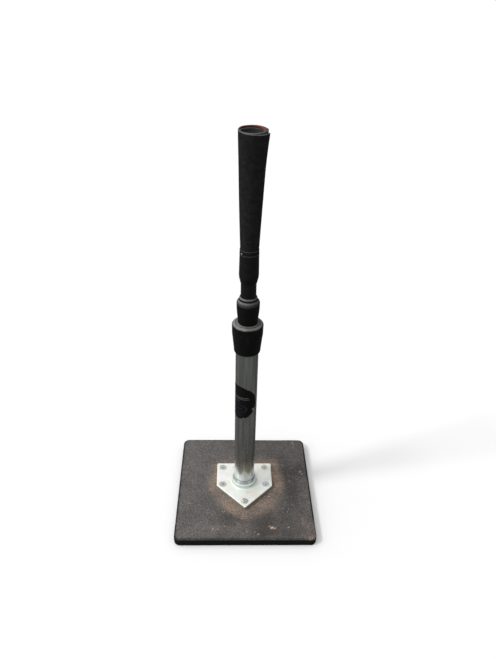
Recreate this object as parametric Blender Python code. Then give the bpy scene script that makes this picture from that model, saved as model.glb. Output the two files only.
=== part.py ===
"""Telescoping batting tee.

A square weighted base carries a flange shaped like home plate.  The stem stands
in the flange's boss and has three nested round tubes.  Each outer tube ends in
a friction collar that grips the next tube, so the height is set by pulling.
The innermost tube carries a cone rolled from rubber sheet, on whose cupped end
the ball rests.

Frame: origin on the stem's axis at the ground, +Z up, -Y towards the point of
the home plate.  Dimensions are millimetres; finish() and place() turn them into
Blender's metres.  Azimuths run from -Y, positive towards +X.
"""

import math

import bmesh
import bpy
from mathutils import Vector

MM = 0.001
GAP = 0.3  # between neighbouring solids
OVERSHOOT = 5.0  # of a cutter beyond the face it opens

# ---- base ----
BASE_SIDE = 254.0
BASE_CENTRE = (1.0, -5.4)
BASE_CORNER_R = 11.0
BASE_TOP = 16.3
BASE_EDGE_R = 3.6
PAD_TOP = 4.4
COVER_BOTTOM = PAD_TOP + GAP
COVER_CHAMFER = 0.7
POCKET_SIDE = 228.0
POCKET_CORNER_R = 6.0
POCKET_TOP = 11.0
WEIGHT_SIDE = 227.0
WEIGHT_CORNER_R = 5.5
WEIGHT_THICK = 5.8
WEIGHT_BOTTOM = COVER_BOTTOM + 0.05

# ---- flange ----
FLANGE_BOTTOM = BASE_TOP + GAP
FLANGE_TOP = 24.3
FLANGE_LEFT, FLANGE_RIGHT = -53.0, 54.0  # -X and +X edges
FLANGE_BACK = 43.4
FLANGE_TIP = (1.0, -68.3)  # the two front edges run back from it at 45 degrees
FLANGE_FOOT_CHAMFER = 0.4
FLANGE_CHAMFER = 0.7
FLANGE_CORNER_R = 2.0
FLANGE_CORNER_R_MIN = 0.5
BOSS_R = 24.2
BOSS_TOP = 32.5
BOSS_CHAMFER = 0.8
BOSS_FILLET = 2.6
BOSS_FILLET_START = 8.0  # degrees; the foot of the fillet's arc is left off
BOSS_SINK = 3.0  # of the boss blank into the plate
SOCKET_R = 21.1
SOCKET_MOUTH_DEPTH = 0.7
SOCKET_MOUTH_RUN = 3.0  # of the mouth's 45-degree cutter

# ---- screws ----
SCREW_XY = ((-41.2, 32.2), (41.3, 32.3), (-40.8, -11.4), (42.1, -11.15), (0.9, -52.6))
SCREW_HEAD_R = 6.6
SCREW_R = 3.175
SCREW_HEAD_Z = FLANGE_TOP - 0.15
SCREW_CONE_Z = SCREW_HEAD_Z - (SCREW_HEAD_R - SCREW_R)  # foot of the 45-degree head
SCREW_FOOT_Z = SCREW_HEAD_Z - 18.4
SCREW_HOLE_R = SCREW_R + GAP
RECESS_REACH = 3.5
RECESS_HALF_ARM = 0.75
RECESS_SECTIONS = ((0.62, -2.6), (1.0, 0.4))  # (scale, height above the screw head's top)

# ---- sliding tubes, from the bottom up: lip, guide bush, bead ----
LIP_HEIGHT = 1.5
BUSH_PLAY = 0.5  # between a bush and the lip below or the bead above it
BEAD_HEIGHT = 2.6
TUBE_END_CHAMFER = 0.3
TRAVEL = 205.0  # of a sliding tube, upwards from the retracted position built here

# ---- lower stage ----
LOWER_R, LOWER_WALL = 19.05, 1.5
LOWER_BORE = LOWER_R - LOWER_WALL
LOWER_BOTTOM, LOWER_TOP = 20.5, 372.0
LOWER_FOOT_CHAMFER = 0.4
FERRULE_R = SOCKET_R - GAP
FERRULE_BORE = 12.0
FERRULE_BOTTOM, FERRULE_TOP = 17.2, 31.2
LOWER_COLLAR_BOTTOM, LOWER_COLLAR_TOP = 330.0, 385.0
LOWER_LINER_BOTTOM = 319.4
LOWER_GROOVE_TOP = LOWER_TOP + 5.6

LABEL_R = 35.5
LABEL_AZIMUTH = math.radians(-49.0)
LABEL_Z = 230.0
LABEL_GAP = 0.22
LABEL_THICK = 0.25

# ---- middle stage ----
MIDDLE_R, MIDDLE_WALL = 14.8, 1.0
MIDDLE_BORE = MIDDLE_R - MIDDLE_WALL
MIDDLE_BOTTOM, MIDDLE_TOP = 46.5, 422.5
MIDDLE_BUSH_BOTTOM = MIDDLE_BOTTOM + LIP_HEIGHT + BUSH_PLAY
MIDDLE_BUSH_TOP = 110.0
UPPER_COLLAR_BOTTOM, UPPER_COLLAR_TOP = LOWER_COLLAR_TOP + 2 * GAP, 432.0
UPPER_LINER_TOP = 416.0

# ---- upper stage ----
UPPER_R, UPPER_WALL = 12.3, 1.2
UPPER_BORE = UPPER_R - UPPER_WALL
UPPER_BOTTOM, UPPER_TOP = 108.0, 530.0
UPPER_BUSH_BOTTOM = UPPER_BOTTOM + LIP_HEIGHT + BUSH_PLAY
UPPER_BUSH_TOP = 168.6
CAP_BOTTOM = 519.0

# ---- sleeve over the cone's foot ----
SLEEVE_BOTTOM, SLEEVE_TOP = 456.6, 512.2
SLEEVE_TAPER_TOP = 467.2
SLEEVE_FOOT_R, SLEEVE_WIDE_R, SLEEVE_TOP_R = 13.0, 15.6, 14.75
SLEEVE_WALL = 0.6
SLEEVE_RIDGE_Z = 504.4
SLEEVE_RIDGE = 0.25

# ---- cone ----
CONE_BOTTOM, CONE_TOP = 468.6, 682.1
CONE_NECK_R = 14.0
CONE_RIM_R = 20.1
CONE_FLARE = 0.75  # further widening over the last part
CONE_FLARE_BOTTOM = 628.0
CONE_LEAN = 1.6  # towards +X at the rim
SHEET = 2.5  # thickness of the rolled sheet
SHEET_STEP = 0.7  # where the rolled sheet ends on its own outside
RIM_CHAMFER = 0.7
FLAP_AZIMUTH = math.radians(96.0)  # of the sheet's free end
FLAP_SLIT = math.radians(2.0)
FLAP_LIFT = 1.9  # further lift of that end at the rim
FLAP_LIFT_BOTTOM = 620.0
BORE_FLARE_BOTTOM = UPPER_TOP + 6.0
CONE_BORE_R = UPPER_R + 0.25
CUP_R = 15.7
CUP_SET = 1.9  # how far the opening lies towards -X from the cone's centre at the rim
# Upper edge of the outer turn: (turns from the sheet's free end, height)
RIM_STATIONS = (
    (0.0, 679.8), (0.18, 680.1), (0.27, 681.0), (0.5, 683.3),
    (0.64, 684.8), (0.77, 685.0), (1.0, 683.7),
)
# Heights of the cone's section lines, upwards outside and downwards inside
CONE_OUTER_HEIGHTS = (
    CONE_BOTTOM, SLEEVE_RIDGE_Z, SLEEVE_TOP, 514.4, 560.0, 610.0, 640.0, 662.0, 675.0,
)
CONE_INNER_HEIGHTS = (CONE_TOP - 0.6, 650.0, 610.0, 572.0, BORE_FLARE_BOTTOM, CONE_BOTTOM)

# ---- rivet ----
RIVET_AZIMUTH = math.radians(-51.0)
RIVET_Z = 507.2
RIVET_SHANK_R = 1.0
RIVET_HOLE_R = RIVET_SHANK_R + GAP
RIVET_HOLE_REACH = (5.0, 25.0)  # the cutter's ends, from the stem's axis

# Outside of each collar, upwards: (radius, height)
LOWER_COLLAR_OUTLINE = [
    (LOWER_R + GAP, LOWER_COLLAR_BOTTOM), (20.9, LOWER_COLLAR_BOTTOM),
    (21.9, LOWER_COLLAR_BOTTOM + 0.8), (22.2, LOWER_COLLAR_BOTTOM + 2.5),
    (22.45, 337.5), (23.5, 347.6), (24.05, 352.0), (24.45, 357.0), (25.05, 361.3),
    (25.4, 365.0), (25.5, 372.0), (25.65, 377.0), (25.65, 380.2), (25.3, 381.7),
    (24.4, 382.7), (21.4, 384.0), (20.2, 384.4), (19.2, LOWER_COLLAR_TOP),
]
UPPER_COLLAR_OUTLINE = [
    (MIDDLE_R + GAP, UPPER_COLLAR_BOTTOM), (15.9, UPPER_COLLAR_BOTTOM),
    (16.4, UPPER_COLLAR_BOTTOM + 0.9), (16.6, 390.0), (16.95, 395.4), (17.35, 399.2),
    (18.05, 406.5), (18.45, 413.0), (18.55, 418.0), (18.55, 421.0), (18.2, 422.9),
    (17.3, 424.4), (15.5, 426.4), (14.75, 426.8), (14.4, 427.3), (14.35, 430.7),
    (13.9, 431.7), (13.4, UPPER_COLLAR_TOP),
]

MATERIALS = {
    "base_rubber": dict(colour=(0.075, 0.066, 0.060), roughness=0.9),
    "weight_steel": dict(colour=(0.30, 0.30, 0.31), roughness=0.5, metallic=1.0),
    "flange_zinc": dict(colour=(0.72, 0.71, 0.67), roughness=0.35, metallic=0.9),
    "bright_zinc": dict(colour=(0.62, 0.64, 0.66), roughness=0.28, metallic=1.0),
    "galvanised_tube": dict(colour=(0.075, 0.08, 0.07), roughness=0.4, metallic=0.8),
    "black_tube": dict(colour=(0.010, 0.010, 0.011), roughness=0.4, metallic=0.3),
    "black_rubber": dict(colour=(0.014, 0.014, 0.015), roughness=0.7),
    "cone_rubber": dict(colour=(0.013, 0.013, 0.014), roughness=0.85),
    "shrink_film": dict(colour=(0.008, 0.008, 0.009), roughness=0.55),
    "nylon": dict(colour=(0.06, 0.06, 0.065), roughness=0.5),
    "label_film": dict(colour=(0.006, 0.007, 0.009), roughness=0.35),
}


# ---- scene and objects ------------------------------------------------


def clear_scene():
    for obj in list(bpy.data.objects):
        bpy.data.objects.remove(obj, do_unlink=True)


def make_material(name, colour, roughness, metallic=0.0):
    made = bpy.data.materials.new(name)
    made.use_nodes = True
    shader = made.node_tree.nodes["Principled BSDF"]
    shader.inputs["Base Color"].default_value = (*colour, 1.0)
    shader.inputs["Roughness"].default_value = roughness
    shader.inputs["Metallic"].default_value = metallic
    made.diffuse_color = (*colour, 1.0)


def place(obj, at, parent=None):
    """Puts an object's origin at a world point, also under a parent."""
    offset = Vector(at) * MM
    obj.parent = parent
    node = parent
    while node:
        offset -= node.location
        node = node.parent
    obj.location = offset


def frame(name, z, parent=None):
    """An empty on the stem's axis at height z, which carries one stage."""
    empty = bpy.data.objects.new(name, None)
    bpy.context.scene.collection.objects.link(empty)
    empty.empty_display_size = 0.03
    place(empty, (0.0, 0.0, z), parent)
    return empty


def finish(bm, name, material=None, at=(0.0, 0.0, 0.0), parent=None, smooth=True):
    """Turns a bmesh in world millimetres into an object with its origin at a point."""
    bmesh.ops.remove_doubles(bm, verts=bm.verts[:], dist=1e-4)
    bmesh.ops.recalc_face_normals(bm, faces=bm.faces[:])
    bmesh.ops.translate(bm, verts=bm.verts[:], vec=-Vector(at))
    bmesh.ops.scale(bm, verts=bm.verts[:], vec=(MM, MM, MM))
    mesh = bpy.data.meshes.new(name)
    bm.to_mesh(mesh)
    bm.free()
    if smooth:
        mesh.shade_smooth()
        mesh.set_sharp_from_angle(angle=math.radians(32))
    obj = bpy.data.objects.new(name, mesh)
    bpy.context.scene.collection.objects.link(obj)
    if material:
        mesh.materials.append(bpy.data.materials[material])
    place(obj, at, parent)
    return obj


def helper(obj):
    """Keeps a boolean operand out of the render."""
    obj.hide_render = True
    obj.display_type = "WIRE"
    return obj


def boolean(obj, other, operation="DIFFERENCE"):
    modifier = obj.modifiers.new(operation.title(), "BOOLEAN")
    modifier.operation = operation
    modifier.object = other
    modifier.solver = "EXACT"


# ---- shapes -----------------------------------------------------------


def loft(rings, closed=False):
    """Quads between loops of equal length, with the ends filled or, if closed, joined."""
    bm = bmesh.new()
    loops = [[bm.verts.new(point) for point in ring] for ring in rings]
    pairs = list(zip(loops, loops[1:]))
    if closed:
        pairs.append((loops[-1], loops[0]))
    for low, high in pairs:
        count = len(low)
        for i in range(count):
            j = (i + 1) % count
            bm.faces.new((low[i], low[j], high[j], high[i]))
    if not closed:
        bm.faces.new(loops[0])
        bm.faces.new(loops[-1])
    return bm


def turned(name, profile, segments, material, parent):
    """A ring spun round the stem's axis from a closed (radius, height) profile."""
    bm = bmesh.new()
    verts = [bm.verts.new((radius, 0.0, z)) for radius, z in profile]
    edges = [bm.edges.new(ends) for ends in zip(verts, verts[1:] + verts[:1])]
    bmesh.ops.spin(
        bm, geom=verts + edges, cent=(0, 0, 0), axis=(0, 0, 1),
        angle=2 * math.pi, steps=segments, use_merge=True,
    )
    return finish(bm, name, material, (0.0, 0.0, min(z for _, z in profile)), parent)


def discs(name, profile, segments, material=None, parent=None, centre=(0.0, 0.0)):
    """A solid turned piece, from (radius, height) pairs stacked upwards."""
    angles = [2 * math.pi * i / segments for i in range(segments)]
    rings = [
        [
            (centre[0] + radius * math.cos(angle), centre[1] + radius * math.sin(angle), z)
            for angle in angles
        ]
        for radius, z in profile
    ]
    return finish(loft(rings), name, material, (*centre, profile[0][1]), parent)


def radial(azimuth):
    """The level unit vector outwards from the stem at an azimuth."""
    return Vector((math.sin(azimuth), -math.cos(azimuth), 0.0))


def radial_discs(name, profile, azimuth, z, segments, material=None, parent=None):
    """A turned piece along a level axis, from (radius, distance from the stem's axis) pairs."""
    out = radial(azimuth)
    side = out.cross(Vector((0, 0, 1)))
    rings = []
    for radius, distance in profile:
        ring = []
        for i in range(segments):
            angle = 2 * math.pi * i / segments
            level = out * distance + side * (radius * math.cos(angle))
            ring.append(level + Vector((0, 0, z + radius * math.sin(angle))))
        rings.append(ring)
    origin = out * profile[0][1] + Vector((0, 0, z))
    return finish(loft(rings), name, material, tuple(origin), parent)


def tube_section(inner, outer, bottom, top):
    return [(inner, bottom), (outer, bottom), (outer, top), (inner, top)]


def chamfered_section(inner, outer, bottom, top, cut_across, cut_up):
    """A rectangular section with its four corners cut by (across, up)."""
    return [
        (inner, bottom + cut_up), (inner + cut_across, bottom),
        (outer - cut_across, bottom), (outer, bottom + cut_up),
        (outer, top - cut_up), (outer - cut_across, top),
        (inner + cut_across, top), (inner, top - cut_up),
    ]


def fillet_polygon(corners, radius, steps=3):
    """Corner points replaced by arcs; the corners run anticlockwise."""
    points = []
    count = len(corners)
    for i in range(count):
        corner = Vector(corners[i])
        back = (Vector(corners[i - 1]) - corner).normalized()
        ahead = (Vector(corners[(i + 1) % count]) - corner).normalized()
        half = back.angle(ahead) / 2
        reach = radius / math.tan(half)
        centre = corner + (back + ahead).normalized() * (radius / math.sin(half))
        start = corner + back * reach - centre
        end = corner + ahead * reach - centre
        sweep = start.angle_signed(end)
        for k in range(steps + 1):
            angle = -sweep * k / steps
            cos, sin = math.cos(angle), math.sin(angle)
            x = centre.x + start.x * cos - start.y * sin
            y = centre.y + start.x * sin + start.y * cos
            points.append((x, y))
    return points


def square_ring(side, corner_r, z):
    half = side / 2
    x, y = BASE_CENTRE
    corners = [(x - half, y - half), (x + half, y - half), (x + half, y + half), (x - half, y + half)]
    return [(*point, z) for point in fillet_polygon(corners, corner_r, steps=4)]


def base_ring(inset, z):
    """The base's outline moved inwards by inset."""
    return square_ring(BASE_SIDE - 2 * inset, BASE_CORNER_R - inset, z)


def plate_ring(inset, z):
    """The home-plate outline moved inwards by inset."""
    left, right = FLANGE_LEFT + inset, FLANGE_RIGHT - inset
    back = FLANGE_BACK - inset
    tip_x, tip_y = FLANGE_TIP[0], FLANGE_TIP[1] + inset * math.sqrt(2)
    corners = [
        (tip_x, tip_y),
        (right, tip_y + right - tip_x),
        (right, back),
        (left, back),
        (left, tip_y + tip_x - left),
    ]
    corner_r = max(FLANGE_CORNER_R - inset, FLANGE_CORNER_R_MIN)
    return [(*point, z) for point in fillet_polygon(corners, corner_r)]


# ---- base -------------------------------------------------------------


def make_base_cover(parent):
    """Cover with a rounded top edge and a square pocket in its underside."""
    rings = []
    edge_steps = 3
    for k in range(edge_steps + 1):
        angle = math.pi / 2 * k / edge_steps
        inset = BASE_EDGE_R * (1 - math.sin(angle))
        rings.append(base_ring(inset, BASE_TOP - BASE_EDGE_R * (1 - math.cos(angle))))
    rings += [
        base_ring(0.0, COVER_BOTTOM + COVER_CHAMFER),
        base_ring(COVER_CHAMFER, COVER_BOTTOM),
        square_ring(POCKET_SIDE, POCKET_CORNER_R, COVER_BOTTOM),
        square_ring(POCKET_SIDE, POCKET_CORNER_R, POCKET_TOP),
    ]
    origin = (*BASE_CENTRE, COVER_BOTTOM)
    return finish(loft(rings), "base_cover", "base_rubber", origin, parent)


def make_base_pad(parent):
    """Pad that closes the underside."""
    stations = ((1.2, 0.0), (0.3, 1.2), (0.3, PAD_TOP - 0.7), (1.0, PAD_TOP))  # (inset, height)
    rings = [base_ring(inset, z) for inset, z in stations]
    finish(loft(rings), "base_pad", "base_rubber", (*BASE_CENTRE, 0.0), parent)


def make_weight_plate(parent):
    """Steel plate in the cover's pocket."""
    heights = (WEIGHT_BOTTOM, WEIGHT_BOTTOM + WEIGHT_THICK)
    rings = [square_ring(WEIGHT_SIDE, WEIGHT_CORNER_R, z) for z in heights]
    origin = (*BASE_CENTRE, WEIGHT_BOTTOM)
    return finish(loft(rings), "weight_plate", "weight_steel", origin, parent)


def make_base(parent):
    cover = make_base_cover(parent)
    make_base_pad(parent)
    weight = make_weight_plate(parent)
    for i, centre in enumerate(SCREW_XY, 1):
        profile = [(SCREW_HOLE_R, -OVERSHOOT), (SCREW_HOLE_R, 40.0)]
        cutter = helper(discs(f"screw_hole_{i}", profile, 20, centre=centre))
        boolean(cover, cutter)
        boolean(weight, cutter)


# ---- flange and screws ------------------------------------------------


def make_boss_blank():
    """The boss with the fillet at its foot."""
    profile = [(BOSS_R + BOSS_FILLET + 0.3, FLANGE_TOP - BOSS_SINK)]
    arc_steps = 3
    for k in range(arc_steps + 1):
        angle = math.radians(BOSS_FILLET_START + (90 - BOSS_FILLET_START) * k / arc_steps)
        radius = BOSS_R + BOSS_FILLET * (1 - math.sin(angle))
        profile.append((radius, FLANGE_TOP + BOSS_FILLET * (1 - math.cos(angle))))
    profile += [(BOSS_R, BOSS_TOP - BOSS_CHAMFER), (BOSS_R - BOSS_CHAMFER, BOSS_TOP)]
    return helper(discs("boss_blank", profile, 36))


def make_socket_cutter():
    """The socket through the boss, with a 45-degree mouth."""
    mouth_z = BOSS_TOP - SOCKET_MOUTH_DEPTH
    profile = [
        (SOCKET_R, FLANGE_BOTTOM - OVERSHOOT),
        (SOCKET_R, mouth_z),
        (SOCKET_R + SOCKET_MOUTH_RUN, mouth_z + SOCKET_MOUTH_RUN),
    ]
    return helper(discs("socket_cutter", profile, 36))


def make_flange(parent):
    """Home-plate flange: chamfered plate, boss, socket and five countersinks."""
    rings = [
        plate_ring(FLANGE_FOOT_CHAMFER, FLANGE_BOTTOM),
        plate_ring(0.0, FLANGE_BOTTOM + FLANGE_FOOT_CHAMFER),
        plate_ring(0.0, FLANGE_TOP - FLANGE_CHAMFER),
        plate_ring(FLANGE_CHAMFER, FLANGE_TOP),
    ]
    flange = finish(loft(rings), "stem_flange", "flange_zinc", (0.0, 0.0, FLANGE_BOTTOM), parent)
    boolean(flange, make_boss_blank(), "UNION")
    boolean(flange, make_socket_cutter())
    head_r = SCREW_HEAD_R + GAP
    profile = [
        (SCREW_HOLE_R, FLANGE_BOTTOM - OVERSHOOT),
        (SCREW_HOLE_R, SCREW_CONE_Z - GAP),
        (head_r, SCREW_HEAD_Z - GAP),
        (head_r, FLANGE_TOP + OVERSHOOT),
    ]
    for i, centre in enumerate(SCREW_XY, 1):
        boolean(flange, helper(discs(f"countersink_{i}", profile, 20, centre=centre)))


def make_cross_recess(i, x, y):
    """Cutter for one screw's cross, turned differently on each screw."""
    turn = math.radians(20 + 31 * i)
    cos, sin = math.cos(turn), math.sin(turn)
    rings = []
    for scale, rise in RECESS_SECTIONS:
        reach, arm = RECESS_REACH * scale, RECESS_HALF_ARM * scale
        cross = [
            (reach, -arm), (reach, arm), (arm, arm), (arm, reach), (-arm, reach), (-arm, arm),
            (-reach, arm), (-reach, -arm), (-arm, -arm), (-arm, -reach), (arm, -reach), (arm, -arm),
        ]
        z = SCREW_HEAD_Z + rise
        rings.append([(x + u * cos - v * sin, y + u * sin + v * cos, z) for u, v in cross])
    origin = (x, y, SCREW_HEAD_Z)
    return helper(finish(loft(rings), f"cross_recess_{i}", at=origin, smooth=False))


def make_screws(parent):
    """Five countersunk screws with cross recesses, reaching down into the weight plate."""
    profile = [
        (SCREW_R - 0.7, SCREW_FOOT_Z),
        (SCREW_R, SCREW_FOOT_Z + 0.8),
        (SCREW_R, SCREW_CONE_Z),
        (SCREW_HEAD_R, SCREW_HEAD_Z - 0.35),
        (SCREW_HEAD_R - 0.2, SCREW_HEAD_Z),
    ]
    for i, (x, y) in enumerate(SCREW_XY, 1):
        screw = discs(f"flange_screw_{i}", profile, 16, "bright_zinc", parent, (x, y))
        boolean(screw, make_cross_recess(i, x, y))


# ---- lower stage ------------------------------------------------------


def make_ferrule(parent):
    """Cup round the lower tube's foot, which fills the flange's socket."""
    seat_r, seat_z = LOWER_R + GAP, LOWER_BOTTOM - GAP
    profile = [
        (FERRULE_BORE, FERRULE_BOTTOM),
        (FERRULE_R - 0.6, FERRULE_BOTTOM),
        (FERRULE_R, FERRULE_BOTTOM + 0.6),
        (FERRULE_R, FERRULE_TOP - 0.5),
        (FERRULE_R - 0.5, FERRULE_TOP),
        (seat_r + 0.3, FERRULE_TOP),
        (seat_r, FERRULE_TOP - 0.3),
        (seat_r, seat_z),
        (FERRULE_BORE, seat_z),
    ]
    turned("stem_ferrule", profile, 36, "bright_zinc", parent)


def make_lower_tube(parent):
    profile = [
        (LOWER_BORE, LOWER_BOTTOM),
        (LOWER_R - LOWER_FOOT_CHAMFER, LOWER_BOTTOM),
        (LOWER_R, LOWER_BOTTOM + LOWER_FOOT_CHAMFER),
        (LOWER_R, LOWER_TOP - TUBE_END_CHAMFER),
        (LOWER_R - TUBE_END_CHAMFER, LOWER_TOP),
        (LOWER_BORE, LOWER_TOP),
    ]
    turned("lower_tube", profile, 40, "galvanised_tube", parent)


def make_lower_collar(parent):
    """Collar over the tube's end, the friction ring in its groove, and a liner in the tube."""
    lip_r, groove_r = MIDDLE_R + 0.6, MIDDLE_R + 3.3
    inside = [
        (lip_r + 1.1, LOWER_COLLAR_TOP),
        (lip_r, LOWER_COLLAR_TOP - 1.0),
        (lip_r, LOWER_GROOVE_TOP),
        (groove_r, LOWER_GROOVE_TOP),
        (groove_r, LOWER_TOP + GAP),
        (LOWER_R + GAP, LOWER_TOP + GAP),
    ]
    turned("lower_collar", LOWER_COLLAR_OUTLINE + inside, 36, "black_rubber", parent)
    ring = chamfered_section(
        MIDDLE_R + GAP, groove_r - GAP, LOWER_TOP + 2 * GAP, LOWER_GROOVE_TOP - GAP,
        cut_across=0.5, cut_up=0.6,
    )
    turned("lower_friction_ring", ring, 24, "black_rubber", parent)
    liner = tube_section(MIDDLE_R + GAP, LOWER_BORE - GAP, LOWER_LINER_BOTTOM, LOWER_TOP - 0.4)
    turned("lower_collar_liner", liner, 36, "nylon", parent)


def make_label(parent):
    """Round label, wrapped on the tube: strips of constant azimuth, cut to a circle."""
    rings = []
    columns = 30
    inside_r = LOWER_R + LABEL_GAP
    for k in range(columns + 1):
        angle = math.pi * (0.02 + 0.96 * k / columns)  # stops short of the circle's two ends
        along, half = -LABEL_R * math.cos(angle), LABEL_R * math.sin(angle)
        out = radial(LABEL_AZIMUTH + along / LOWER_R)
        low, high = Vector((0, 0, LABEL_Z - half)), Vector((0, 0, LABEL_Z + half))
        near, far = out * inside_r, out * (inside_r + LABEL_THICK)
        rings.append([near + low, far + low, far + high, near + high])
    finish(loft(rings), "stem_label", "label_film", (0.0, 0.0, LABEL_Z), parent)


# ---- sliding stages ---------------------------------------------------


def split_bush(name, inner, outer, bottom, top, parent):
    """A guide bush: a plastic sleeve slit along its length on the +X side."""
    segments, slit = 36, 8.0  # slit in degrees
    rings = []
    for k in range(segments + 1):
        angle = math.radians(slit / 2 + (360 - slit) * k / segments)
        cos, sin = math.cos(angle), math.sin(angle)
        section = tube_section(inner, outer, bottom, top)
        rings.append([(radius * cos, radius * sin, z) for radius, z in section])
    finish(loft(rings), name, "nylon", (0.0, 0.0, bottom), parent)


def sliding_tube(name, outer, inner, bottom, top, bush_top, lip, bead, parent):
    """A tube with a lip under its guide bush and a bead over it, which stops the pull-out.

    lip and bead are how far each stands out from the tube.
    """
    bead_z = bush_top + BUSH_PLAY
    profile = [
        (inner, bottom),
        (outer + lip, bottom),
        (outer + lip, bottom + LIP_HEIGHT),
        (outer, bottom + LIP_HEIGHT),
        (outer, bead_z),
        (outer + bead, bead_z + 0.9),
        (outer + bead, bead_z + 1.7),
        (outer, bead_z + BEAD_HEIGHT),
        (outer, top - TUBE_END_CHAMFER),
        (outer - TUBE_END_CHAMFER, top),
        (inner, top),
    ]
    return turned(name, profile, 36, "black_tube", parent)


def make_upper_collar(stage):
    """Collar over the middle tube's end, with a liner and a friction ring inside the tube."""
    lip_r = UPPER_R + 0.5
    inside = [
        (lip_r + 0.3, UPPER_COLLAR_TOP),
        (lip_r, UPPER_COLLAR_TOP - 0.5),
        (lip_r, MIDDLE_TOP + GAP),
        (MIDDLE_R + GAP, MIDDLE_TOP + GAP),
    ]
    turned("upper_collar", UPPER_COLLAR_OUTLINE + inside, 36, "black_rubber", stage)
    inner, outer = UPPER_R + GAP, MIDDLE_BORE - GAP
    # The liner starts just above the upper tube's bead at full travel.
    liner_bottom = UPPER_BUSH_TOP + BUSH_PLAY + BEAD_HEIGHT + TRAVEL + 2 * GAP
    liner = tube_section(inner, outer, liner_bottom, UPPER_LINER_TOP)
    turned("upper_collar_liner", liner, 36, "nylon", stage)
    ring = chamfered_section(
        inner, outer, UPPER_LINER_TOP + GAP, MIDDLE_TOP - 0.3, cut_across=0.3, cut_up=0.3
    )
    turned("upper_friction_ring", ring, 24, "black_rubber", stage)


def make_middle_stage(guide, stage):
    split_bush(
        "middle_guide_bush", MIDDLE_R + GAP, LOWER_BORE - GAP,
        MIDDLE_BUSH_BOTTOM, MIDDLE_BUSH_TOP, guide,
    )
    sliding_tube(
        "middle_tube", MIDDLE_R, MIDDLE_BORE, MIDDLE_BOTTOM, MIDDLE_TOP,
        MIDDLE_BUSH_TOP, lip=1.3, bead=0.9, parent=stage,
    )
    make_upper_collar(stage)


def make_tube_cap(stage):
    """Plug in the upper tube's end, with a head that rests just above it."""
    plug_r, head_r = UPPER_BORE - GAP, UPPER_R - 0.2
    profile = [
        (plug_r - 0.8, CAP_BOTTOM),
        (plug_r, CAP_BOTTOM + 1.2),
        (plug_r, UPPER_TOP + GAP),
        (head_r, UPPER_TOP + GAP),
        (head_r, UPPER_TOP + 2.4),
        (head_r - 0.8, UPPER_TOP + 3.2),
    ]
    discs("upper_tube_cap", profile, 20, "nylon", stage)


# ---- sleeve and cone --------------------------------------------------


def sleeve_outer(z):
    """Outside radius: the sleeve tapers onto the tube below the cone's end."""
    if z < SLEEVE_TAPER_TOP:
        share = (z - SLEEVE_BOTTOM) / (SLEEVE_TAPER_TOP - SLEEVE_BOTTOM)
        return SLEEVE_FOOT_R + (SLEEVE_WIDE_R - SLEEVE_FOOT_R) * share
    share = (z - SLEEVE_TAPER_TOP) / (SLEEVE_TOP - SLEEVE_TAPER_TOP)
    return SLEEVE_WIDE_R - (SLEEVE_WIDE_R - SLEEVE_TOP_R) * share


def make_sleeve(stage):
    """Film sleeve round the cone's foot, with a small ridge below its top."""
    outside = [(sleeve_outer(z), z) for z in (SLEEVE_BOTTOM, 462.0, SLEEVE_TAPER_TOP, 486.0, 503.2)]
    outside.append((sleeve_outer(SLEEVE_RIDGE_Z) + SLEEVE_RIDGE, SLEEVE_RIDGE_Z))
    outside += [(sleeve_outer(z), z) for z in (505.6, SLEEVE_TOP)]
    inside = [(max(radius - SLEEVE_WALL, UPPER_R + GAP), z) for radius, z in reversed(outside)]
    return turned("cone_sleeve", outside + inside, 32, "shrink_film", stage)


def cone_share(z):
    return min(1.0, max(0.0, (z - SLEEVE_TOP) / (CONE_TOP - SLEEVE_TOP)))


def cone_mean(z):
    """Radius above the sleeve: it widens a little less upwards, then flares at the rim."""
    flare = min(1.0, max(0.0, (z - CONE_FLARE_BOTTOM) / (CONE_TOP - CONE_FLARE_BOTTOM))) ** 1.3
    widening = 1 - (1 - cone_share(z)) ** 1.2
    return CONE_NECK_R + (CONE_RIM_R - CONE_NECK_R) * widening + CONE_FLARE * flare


def cone_outer(z, turn):
    """Outside radius at a turn of 0 to 1 from the sheet's free end, which lifts at the rim."""
    if z < SLEEVE_TOP + 0.8:
        return sleeve_outer(min(z, SLEEVE_TOP)) - SLEEVE_WALL - GAP
    rise = max(0.0, (z - FLAP_LIFT_BOTTOM) / (CONE_TOP - FLAP_LIFT_BOTTOM))
    lift = FLAP_LIFT * rise**2 * math.exp(-turn * 5.0)
    return cone_mean(z) + 0.4 - SHEET_STEP * turn + lift


def cone_inner(z, turn):
    """Bore radius; the opening is set over to -X, so the wall is thicker towards +X."""
    if z <= BORE_FLARE_BOTTOM:
        return CONE_BORE_R
    share = (z - BORE_FLARE_BOTTOM) / (CONE_TOP - BORE_FLARE_BOTTOM)
    offset = CUP_SET * share**2 * math.sin(FLAP_AZIMUTH - 2 * math.pi * turn)
    return CONE_BORE_R + (CUP_R - CONE_BORE_R) * share**0.9 - offset


def rim_height(turn):
    """Height of the outer turn's upper edge, eased between its stations."""
    for (turn0, z0), (turn1, z1) in zip(RIM_STATIONS, RIM_STATIONS[1:]):
        if turn <= turn1:
            share = (turn - turn0) / (turn1 - turn0)
            return z0 + (z1 - z0) * share * share * (3 - 2 * share)


def cone_ring(surface, height, offset=0.0):
    """One line round the cone, from radius surface(z, turn) + offset and z = height(turn)."""
    around = 36
    ring = []
    for k in range(around + 1):
        turn = k / around
        z = height(turn)
        azimuth = FLAP_AZIMUTH - (2 * math.pi - FLAP_SLIT) * turn
        lean = CONE_LEAN * cone_share(z) ** 2
        ring.append(radial(azimuth) * (surface(z, turn) + offset) + Vector((lean, 0, z)))
    return ring


def level(z):
    return lambda turn: z


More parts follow.
